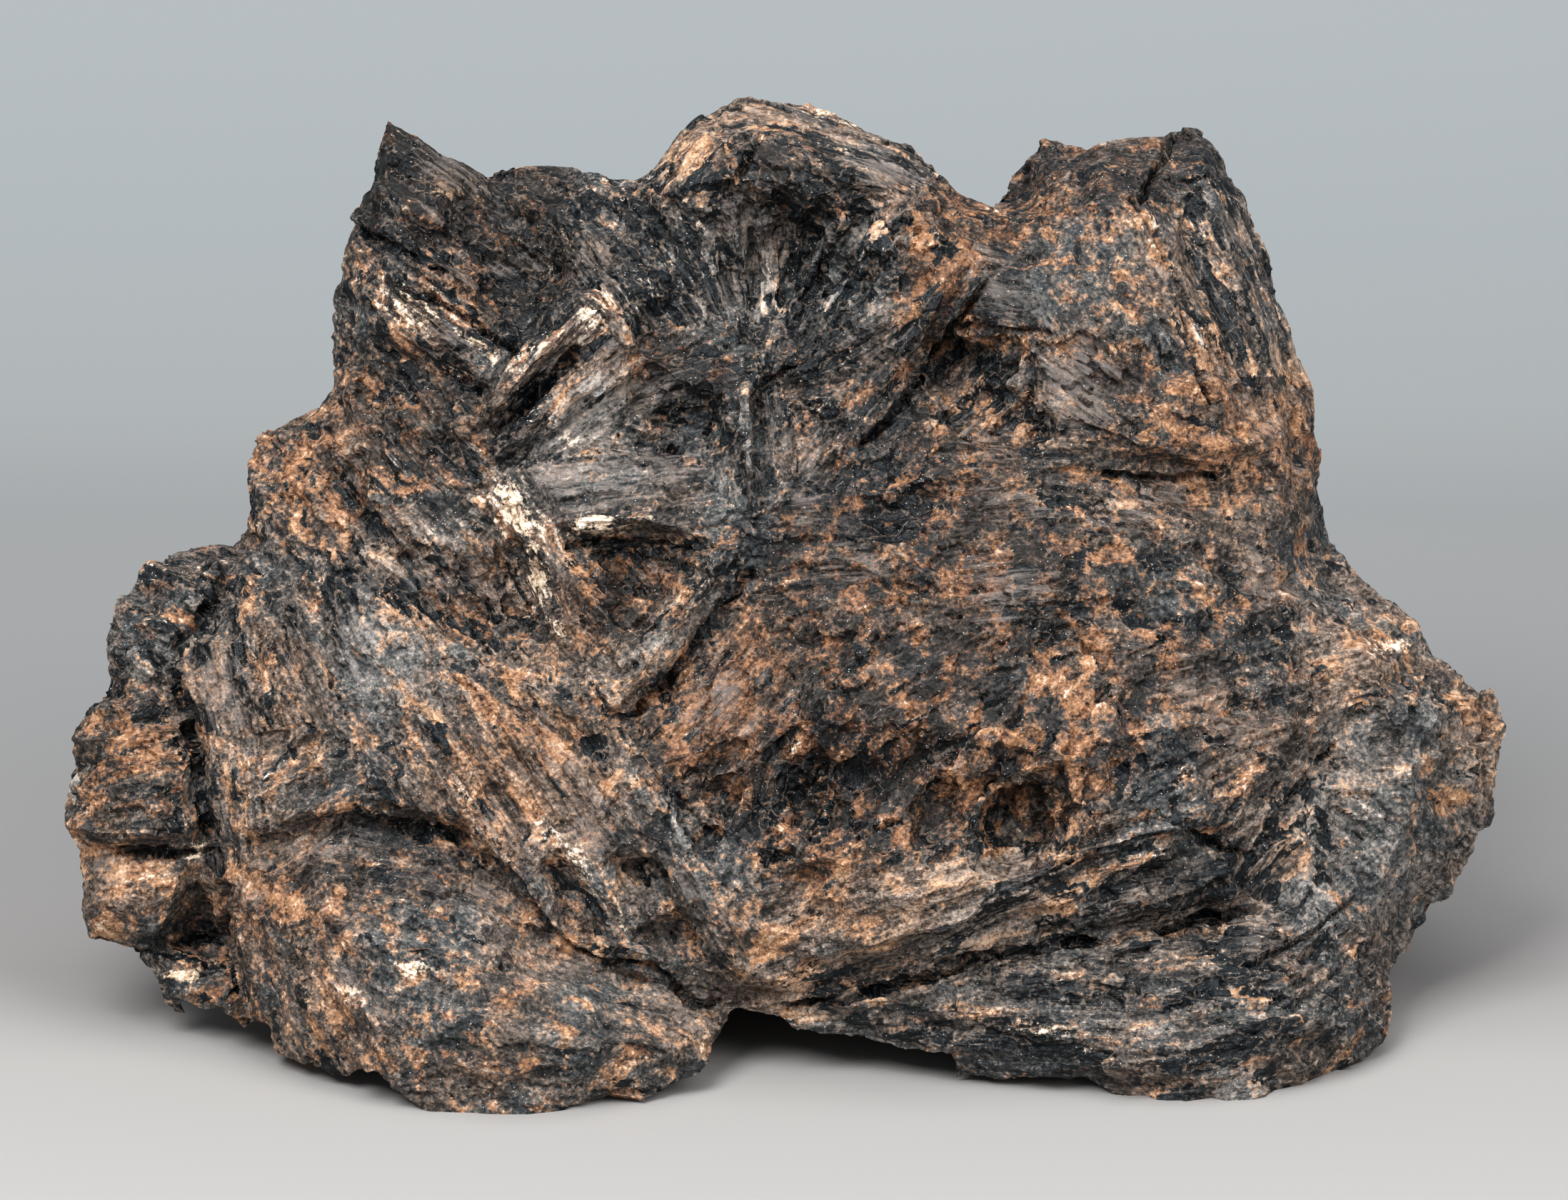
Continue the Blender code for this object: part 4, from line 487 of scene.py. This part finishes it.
def lay_relief(mesh):
    """Moves the skin along its normals: folia steps, crystals, holes, cracks and thin blades.

    Returns how far each vertex moved, in mm, and how much of a hole it lies in.
    """
    places = places_of(mesh)
    normals = normals_of(mesh)
    wander = drift(places, BORDER_WAVE)
    fine_wander = drift(places, 0.9 * MM, 4.0)
    across, up, out = flat_on_face(places).T
    face = share_facing(normals, 2.2, 0.35)
    bent = np.array([across, up]) + BORDER_SWAY * wander.T[:2] + 0.25 * fine_wander.T[:2]
    sheaf = sheaf_of(*bent)
    degrees = np.where(face > 0.15, SHEAF_ANGLE[sheaf], BACK_GRAIN_ANGLE)
    along, thwart = along_grain(across, up, sheaf, degrees)

    # Steps of thick and of thin folia: their spacing, how they sway, how sheaves differ, and their share.
    folia = np.zeros(len(places))
    for spacing, sway, differ, share in ((THICK_FOLIA, 0.55 * wander[:, 2], 0.1, 0.75),
                                         (THIN_FOLIA, 0.5 * fine_wander[:, 2], 0.37, 0.35)):
        folia += saw(thwart / spacing + sway + differ * sheaf) * share
    relief = folia * SHEAF_STEP[sheaf] * (0.35 + 0.65 * face)

    # Crystals that stand at their own heights, longer than they are wide, then a little unevenness, in mm.
    drawn = np.stack([along / CRYSTAL_STRETCH, thwart, out], axis=1)
    off, lot = crystals(drawn / CRYSTAL + 0.3 * fine_wander)
    _, small_lot = crystals(drawn / SMALL_CRYSTAL + 0.2 * fine_wander, 13.0)
    relief += (lot - 0.5) * 0.22 - np.clip(off - 0.35, 0, 1) * 0.16
    relief += (small_lot - 0.5) * 0.08
    relief += 0.05 * turbulence(places, 0.8 * MM, 2, 5.0) + 0.12 * turbulence(places, 2.6 * MM, 2, 9.0)

    # A third of the crystals have fallen out where the ground is spongy.
    spongy = np.zeros(len(places))
    for x, v, radius, depth in SPONGY:
        spongy = np.maximum(spongy, np.exp(-(np.hypot(bent[0] - x, bent[1] - v) / radius) ** 4) * depth)
    hole = (lot < 0.34) * np.clip(1.3 - off * 1.7, 0, 1) * face
    relief -= spongy * 1.5 * hole
    hole = hole * np.clip(spongy / 0.4, 0, 1)

    for width, depth, *points in CRACKS:
        bent_across = across + 0.25 * fine_wander[:, 0] + 0.15 * wander[:, 0]
        gap = near_line(bent_across, up + 0.25 * fine_wander[:, 1], points)
        shown = np.clip(1.3 - gap / width, 0, 1) ** 1.2 * face
        relief -= depth * shown
        hole = np.maximum(hole, shown)
    for width, height, *points in BLADES:
        gap = near_line(across + 0.2 * fine_wander[:, 0], up + 0.2 * fine_wander[:, 1], points)
        relief += height * np.clip(1.2 - gap / width, 0, 1) * face

    # The patches that the stone rests on stay flat.
    standing = np.clip(places[:, 2] / (0.8 * MM), 0, 1)
    moved = places + normals * (relief * standing * MM)[:, None]
    moved[:, 2] = np.maximum(moved[:, 2], 0)
    mesh.vertices.foreach_set("co", moved.astype(np.float32).ravel())
    mesh.update()
    return relief, hole


def lay_stains(mesh, relief, hole):
    """Writes for the material how strongly each stain shows, how light, warm and streaky the stone is, and its
    relief and holes, from which the material paints shade.
    """
    places = places_of(mesh)
    wander = drift(places, 2.4 * MM, 2.0)
    fine_wander = drift(places, 0.8 * MM, 7.0)
    face = share_facing(normals_of(mesh), 3, 0.6)
    across, up = flat_on_face(places).T[:2] + 0.8 * wander.T[:2] + 0.3 * fine_wander.T[:2]
    layers = {}
    for name, patches in STAINS.items():
        shown = np.zeros(len(places))
        for x, v, length, width, degrees, strength in patches:
            c, s = math.cos(math.radians(degrees)), math.sin(math.radians(degrees))
            a = ((across - x) * c + (up - v) * s) / length
            b = (-(across - x) * s + (up - v) * c) / width
            shown = np.maximum(shown, strength * np.exp(-0.7 * (a * a + b * b)))
        layers[name] = shown * face

    # The back isn't seen in the photograph: its stains and looks are drifts of these widths, in mm.
    broad, middling, close = (turbulence(places, size * MM, 3, size) for size in (16, 11, 7))
    for name, shown in (("tan", 1.5 * broad), ("rust", 1.4 * middling), ("black", -1.5 * middling),
                        ("grey", -1.5 * broad), ("cream", 1.6 * close * middling)):
        layers[name] += np.clip(shown - 0.15, 0, 0.9) * (1 - face)
    looks = np.stack([SHEAF_STEP, SHEAF_LIGHT, SHEAF_WARM], axis=1)
    around = [looks[sheaf_of(across + x, up + v)] for x, v in BORDER_BLUR]
    step, light, warm = (sum(around) / len(around)).T
    layers["streaky"] = np.where(face > 0.3, streakiness(step), 0.45 + 0.9 * close)
    layers["light"] = np.where(face > 0.3, light, 0.25 * close)
    layers["warm"] = np.where(face > 0.3, warm, 0.5 + 0.5 * broad)
    layers["height"] = relief
    layers["hole"] = hole
    layers["cloud"] = 0.5 + 0.4 * turbulence(places, CLOUD, 3, 3.0)
    for name, values in layers.items():
        spread = mesh.attributes.new(name, "FLOAT", "POINT")
        spread.data.foreach_set("value", values.astype(np.float32))
    spread = mesh.attributes.new("warp", "FLOAT_VECTOR", "POINT")
    spread.data.foreach_set("vector", (0.5 * fine_wander).astype(np.float32).ravel())


def lay_grain(mesh):
    """Writes on each face's corners the place along and across the grain of the sheaf that it is in."""
    places = places_of(mesh)
    corners = np.empty(len(mesh.loops), np.int32)
    mesh.loops.foreach_get("vertex_index", corners)
    corner_places = places[corners]
    middles = corner_places.reshape(-1, 3, 3).mean(axis=1)
    bent = flat_on_face(middles).T[:2] + BORDER_SWAY * drift(middles, BORDER_WAVE).T[:2]
    sheaf = sheaf_of(*bent)
    directions = np.empty(len(mesh.polygons) * 3, np.float32)
    mesh.polygons.foreach_get("normal", directions)
    in_front = directions.reshape(-1, 3) @ np.array(FACE_OUT) > -0.15
    degrees = np.where(in_front, SHEAF_ANGLE[sheaf], BACK_GRAIN_ANGLE)
    sheaf = np.repeat(np.where(in_front, sheaf, len(GRAIN)), 3)
    across, up, out = flat_on_face(corner_places).T
    along, thwart = along_grain(across, up, sheaf, np.repeat(degrees, 3))
    drawn_out = np.append(1.0 - 0.45 * streakiness(SHEAF_STEP), BACK_DRAWN_OUT)[sheaf]
    values = np.stack([along * drawn_out + SHEAF_APART * sheaf, thwart, out], axis=1)
    spread = mesh.attributes.new("grain", "FLOAT_VECTOR", "CORNER")
    spread.data.foreach_set("vector", values.astype(np.float32).ravel())


def linear(hex_colour):
    """A colour given as sRGB hex, turned to the linear values that Blender's sockets take."""
    parts = [int(hex_colour[i:i + 2], 16) / 255 for i in (1, 3, 5)]
    return tuple(p / 12.92 if p <= 0.04045 else ((p + 0.055) / 1.055) ** 2.4 for p in parts) + (1.0,)


def add_node(tree, kind, settings):
    """Adds a node. A setting is a property, an input's value, a link to an input or a colour ramp's stops."""
    node = tree.nodes.new(kind)
    for name, value in settings.items():
        if isinstance(value, bpy.types.NodeSocket):
            tree.links.new(value, node.inputs[name])
        elif name == "stops":
            while len(node.color_ramp.elements) < len(value):
                node.color_ramp.elements.new(0.5)
            for element, (position, colour) in zip(node.color_ramp.elements, value):
                element.position = position
                element.color = linear(colour)
        elif isinstance(name, str) and hasattr(node, name):
            setattr(node, name, value)
        else:
            node.inputs[name].default_value = value
    return node


def empty_material(name):
    """A material without nodes, and the call that adds them to it."""
    material = bpy.data.materials.new(name)
    material.use_nodes = True
    material.node_tree.nodes.clear()
    return material, functools.partial(add_node, material.node_tree)


def micaceous_stone():
    """Bannisterite, a brittle mica, broken rather than cut.

    The eye sees blue-black cleavage faces netted with thin pale edges, grey-brown frayed folia drawn out along
    the grain, and ochre to cream patches where they weathered. Painted shade darkens holes, cracks, lower
    relief and the strips under ledges, blades and lips, and tiny painted glints dot the faces.
    """
    material, add = empty_material("bannisterite_fractured_folia")

    def weigh(start, *terms):
        """The start value plus each value times its weight."""
        for value, weight in terms:
            settings = {"operation": "MULTIPLY_ADD", 0: value, 1: weight, 2: start}
            start = add("ShaderNodeMath", settings).outputs[0]
        return start

    layer = {name: add("ShaderNodeAttribute", {"attribute_name": name}).outputs["Fac"]
             for name in (*STAINS, "streaky", "light", "warm", "height", "hole", "cloud")}
    grain, warp = (add("ShaderNodeAttribute", {"attribute_name": name}).outputs["Vector"]
                   for name in ("grain", "warp"))
    body = add("ShaderNodeTexCoord", {}).outputs["Object"]
    streaky, cloud = layer["streaky"], layer["cloud"]

    # Where the patterns are read, in mm: even, or drawn out along the grain. The dark patches are moved away.
    in_mm, drawn, hairlike, moved, cell_place = (
        add("ShaderNodeVectorMath", {"operation": "MULTIPLY_ADD", 0: place, 1: stretch, 2: shift}).outputs[0]
        for place, stretch, shift in (
            (body, (1000.0, 1000.0, 1000.0), (0.0, 0.0, 0.0)),
            (grain, (0.42, 1.0, 1.0), (0.0, 0.0, 0.0)),
            (grain, (0.10, 1.0, 0.8), (0.0, 0.0, 0.0)),
            (grain, (0.42, 1.0, 1.0), (37.0, 11.0, 5.0)),
            (grain, (0.7, 1.0, 1.0), warp)))

    # Patches a little over 2 mm wide, hair-fine streaks, half-mm flecks: how many fit in a mm comes first.
    even_patch, drawn_patch, dark_patch, hair, fleck = (
        add("ShaderNodeTexNoise", {"Scale": per_mm, "Detail": detail, "Roughness": roughness,
                                   "Distortion": distortion, "Vector": place}).outputs["Fac"]
        for per_mm, place, detail, roughness, distortion in (
            (0.42, in_mm, 5.5, 0.64, 0.5),
            (0.50, drawn, 5.5, 0.64, 0.3),
            (0.45, moved, 5.0, 0.62, 0.4),
            (1.9, hairlike, 3.5, 0.7, 0.15),
            (2.1, in_mm, 3.2, 0.74, 0.3)))
    patch = weigh(even_patch, (weigh(drawn_patch, (even_patch, -1.0)), streaky))

    # Cleavage faces about 1.5 mm wide and their thin edges, a grit of flakes of a fifth of a mm, and the cells
    # of the painted glints.
    cell, cell_edge, grit, painted_glint_cells = (
        add("ShaderNodeTexVoronoi", {"feature": feature, "Scale": per_mm, "Vector": place}).outputs
        for per_mm, place, feature in (
            (0.68, cell_place, "F1"),
            (0.68, cell_place, "DISTANCE_TO_EDGE"),
            (5.2, in_mm, "F1"),
            (6.5, in_mm, "F1")))
    cell_lot, grit_lot, painted_glint_cell_lot = (add("ShaderNodeSeparateColor", {"Color": mosaic["Color"]}).outputs
                                     for mosaic in (cell, grit, painted_glint_cells))

    # One tone swings every ground from its darkest to its lightest colour. It also holds painted shade: holes,
    # cracks and low relief darker, raised relief lighter.
    tone = weigh(-2.55, (hair, weigh(0.35, (streaky, 1.15))), (streaky, 0.14), (fleck, 1.8),
                 (grit_lot[0], 0.24), (cell_lot[1], 0.24), (layer["light"], 0.38), (layer["height"], 0.22),
                 (layer["hole"], -0.20), (patch, 1.75))
    # The grounds are cool grey, warm grey, ochre, black and cream: where the tone starts, and their colours.
    # The black ground also lays in the painted shade and shadow.
    grounds = (
        (0.42, ((0.0, "#0d1114"), (0.3, "#282c2e"), (0.5, "#444544"), (0.72, "#676461"), (1.0, "#928d88"))),
        (0.42, ((0.0, "#17130f"), (0.3, "#382d26"), (0.5, "#5a493c"), (0.72, "#7e6756"), (1.0, "#a89280"))),
        (0.46, ((0.0, "#22170f"), (0.28, "#503727"), (0.5, "#7b563d"), (0.75, "#9e7453"), (1.0, "#c29d7e"))),
        (0.22, ((0.0, "#04070a"), (0.4, "#0d1215"), (0.7, "#1a2024"), (1.0, "#424443"))),
        (0.52, ((0.0, "#4e3d2f"), (0.4, "#a2866b"), (0.7, "#d1bba2"), (1.0, "#ecdcc9"))),
    )
    cool, warm, ochre, black, cream = (
        add("ShaderNodeValToRGB", {"stops": stops, "Fac": weigh(start, (tone, 1.0))}).outputs["Color"]
        for start, stops in grounds)

    warmth = weigh(-1.30, (cloud, 1.9), (layer["warm"], 0.9), (fleck, 0.8), (layer["grey"], -0.6),
                   (layer["tan"], 0.3))
    weathered = weigh(-0.19, (patch, 1.06), (fleck, 0.34), (grit_lot[2], 0.05), (layer["tan"], 0.07),
                      (layer["rust"], 0.08), (cell_lot[2], 0.04), (layer["warm"], 0.12),
                      (layer["light"], 0.02), (layer["black"], 0.02), (layer["grey"], -0.06))
    # The black share rises in holes and cracks, as painted shade, and with the black stains, which hold painted
    # shadow.
    cleaved_and_shaded = weigh(-0.265, (dark_patch, 1.0), (cell_lot[0], 0.36), (fleck, -0.14), (layer["black"], 0.17),
                    (layer["hole"], 0.10), (layer["light"], -0.12), (layer["tan"], -0.08),
                    (layer["cream"], -0.12))
    # Cream keeps out of holes and cracks, so that they stay dark: painted shade.
    bleached = weigh(-0.16, (patch, 0.6), (hair, 0.4), (fleck, 0.35), (grit_lot[0], 0.05),
                     (layer["cream"], 0.22), (layer["hole"], -0.2))
    # A grey film along the hair streaks: partly the folia's own grey, partly painted sheen.
    film_and_sheen_mark = weigh(0.0, (hair, 0.7), (cloud, 0.4), (layer["grey"], 0.16))

    # How much of each look shows: what it depends on, where it starts and ends, and its share at both ends.
    ochre_share, black_and_shade_share, net_share, cream_share, film_and_sheen, line, unbroken, painted_glint_chance, middle = (
        add("ShaderNodeMapRange", {"interpolation_type": "SMOOTHSTEP", "From Min": start, "From Max": end,
                                   "To Min": first, "To Max": last, "Value": value}).outputs[0]
        for value, start, end, first, last in (
            (weathered, 0.63, 0.75, 0.0, 1.0),
            (cleaved_and_shaded, 0.455, 0.485, 0.0, 1.0),
            (cleaved_and_shaded, 0.38, 0.46, 0.05, 0.50),
            (bleached, 0.64, 0.74, 0.0, 1.0),
            (film_and_sheen_mark, 0.60, 0.74, 0.0, 0.40),
            (cell_edge["Distance"], 0.012, 0.07, 1.0, 0.0),
            (fleck, 0.42, 0.58, 0.0, 1.0),
            (painted_glint_cell_lot[2], 0.975, 0.985, 0.0, 0.7),
            (painted_glint_cells["Distance"], 0.15, 0.4, 1.0, 0.0)))
    net = weigh(0.0, (weigh(0.0, (line, unbroken)), net_share))
    # Painted glints: rare tiny near-white spots mixed into the colour, where flakes would catch the light.
    painted_glint = weigh(0.0, (painted_glint_chance, middle))

    # Each look is laid over the ones before it, the painted glints last.
    colour = cool
    for share, look in ((warmth, warm), (ochre_share, ochre), (black_and_shade_share, black), (net, linear("#857466")),
                        (cream_share, cream), (film_and_sheen, linear("#857b75")), (painted_glint, linear("#d9dad8"))):
        colour = add("ShaderNodeMix", {"data_type": "RGBA", 0: share, 6: colour, 7: look}).outputs[2]

    # Each cleavage face and flake lies at its own tilt, so it glints alone.
    lie = add("ShaderNodeNewGeometry", {}).outputs["Normal"]
    for mosaic, tilt in ((cell, 0.28), (grit, 0.45)):
        tipped = add("ShaderNodeVectorMath", {"operation": "MULTIPLY_ADD", 0: mosaic["Color"], 1: (tilt,) * 3,
                                              2: lie}).outputs[0]
        lie = add("ShaderNodeVectorMath", {"operation": "SUBTRACT", 0: tipped, 1: (tilt / 2,) * 3}).outputs[0]
    lie = add("ShaderNodeVectorMath", {"operation": "NORMALIZE", 0: lie}).outputs[0]
    surface = weigh(0.0, (hair, weigh(0.2, (streaky, 0.7))), (fleck, 0.7))
    raised = add("ShaderNodeBump", {"Strength": 0.8, "Distance": 0.25 * MM, "Height": surface, "Normal": lie})
    roughness = weigh(0.36, (grit_lot[1], 0.35), (black_and_shade_share, -0.12), (layer["cream"], 0.15))
    shader = add("ShaderNodeBsdfPrincipled", {
        "IOR": 1.59, "Metallic": 0.0, "Specular IOR Level": 0.16, "Base Color": colour,
        "Roughness": roughness, "Normal": raised.outputs["Normal"]})
    add("ShaderNodeOutputMaterial", {"Surface": shader.outputs[0]})
    return material


def matte_floor():
    """Matte card, plain pale grey, with painted shade: pale in front, darker from under the stone to about 0.1
    m behind it, then paler blue-grey farther back.
    """
    material, add = empty_material("matte_card_floor")
    place = add("ShaderNodeTexCoord", {}).outputs["Object"]
    depth = add("ShaderNodeSeparateXYZ", {"Vector": place}).outputs["Y"]
    run = add("ShaderNodeMapRange", {"From Min": FLOOR_FRONT, "From Max": FLOOR_BACK, "Value": depth})
    painted_shade_greys = ((0.13, "#949291"), (0.185, "#8f8d8b"), (0.222, "#7d7b7a"), (0.30, "#7a7a7a"), (0.42, "#797b7c"),
             (0.47, "#818586"), (0.54, "#858a8c"), (0.65, "#8d9295"), (1.0, "#9aa0a4"))
    colour = add("ShaderNodeValToRGB", {"stops": painted_shade_greys, "Fac": run.outputs[0]}).outputs["Color"]
    shader = add("ShaderNodeBsdfPrincipled", {
        "Roughness": 0.7, "Specular IOR Level": 0.2, "Base Color": colour})
    add("ShaderNodeOutputMaterial", {"Surface": shader.outputs[0]})
    return material


def make_stone(frame):
    node = frame["nodes"][NODE]
    mesh = refined_mesh(node.data)
    relief, hole = lay_relief(mesh)
    lay_stains(mesh, relief, hole)
    lay_grain(mesh)
    material = micaceous_stone()
    for number, strip in enumerate(strips_of(mesh)):
        strip.materials.clear()
        strip.materials.append(material)
        stone = bpy.data.objects.new(f"stone_skin_{number + 1}", strip)
        bpy.context.scene.collection.objects.link(stone)
        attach(stone, "root")
        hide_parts(NODE)


def make_floor():
    shape = bmesh.new()
    bmesh.ops.create_circle(shape, cap_ends=True, segments=96, radius=FLOOR_RADIUS)
    mesh = bpy.data.meshes.new("floor")
    shape.to_mesh(mesh)
    shape.free()
    mesh.materials.append(matte_floor())
    floor = bpy.data.objects.new("floor", mesh)
    bpy.context.scene.collection.objects.link(floor)


def softbox(name, azimuth, elevation, size, power):
    """A square white light aimed at the stone; azimuth 0 is in front of it and 90 to the viewer's right."""
    a, e = math.radians(azimuth), math.radians(elevation)
    way = Vector((math.sin(a) * math.cos(e), -math.cos(a) * math.cos(e), math.sin(e)))
    light = bpy.data.lights.new(name, "AREA")
    light.shape = "SQUARE"
    light.size = size
    light.energy = power
    holder = bpy.data.objects.new(name, light)
    holder.location = LIT_POINT + way * LAMP_DISTANCE
    holder.rotation_euler = way.to_track_quat("Z", "Y").to_euler()
    bpy.context.scene.collection.objects.link(holder)


def light_studio():
    softbox("key", azimuth=-38, elevation=52, size=0.5, power=11)
    softbox("fill", azimuth=48, elevation=38, size=0.6, power=6)
    softbox("top", azimuth=0, elevation=88, size=0.7, power=6)
    world = bpy.data.worlds.new("studio")
    bpy.context.scene.world = world
    world.use_nodes = True
    world.node_tree.nodes["Background"].inputs["Color"].default_value = linear("#c9ccd0")
    world.node_tree.nodes["Background"].inputs["Strength"].default_value = 0.55


def place_camera():
    """On the line that the broad face leans back from; the measured width of its plane fills the picture."""
    camera = bpy.data.cameras.new("camera")
    camera.sensor_width = 36
    camera.lens = camera.sensor_width * SIGHT_DISTANCE / SIGHT_WIDTH
    holder = bpy.data.objects.new("camera", camera)
    holder.location = FACE_FOOT + FACE_UP * SIGHT_UP * MM + FACE_OUT * (SIGHT_DISTANCE * MM)
    holder.rotation_euler = FACE_OUT.to_track_quat("Z", "Y").to_euler()
    bpy.context.scene.collection.objects.link(holder)
    bpy.context.scene.camera = holder


def main():
    noise.seed_set(NOISE_START)
    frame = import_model()
    make_stone(frame)
    make_floor()
    light_studio()
    place_camera()
    bpy.context.scene.view_settings.view_transform = "Standard"


main()
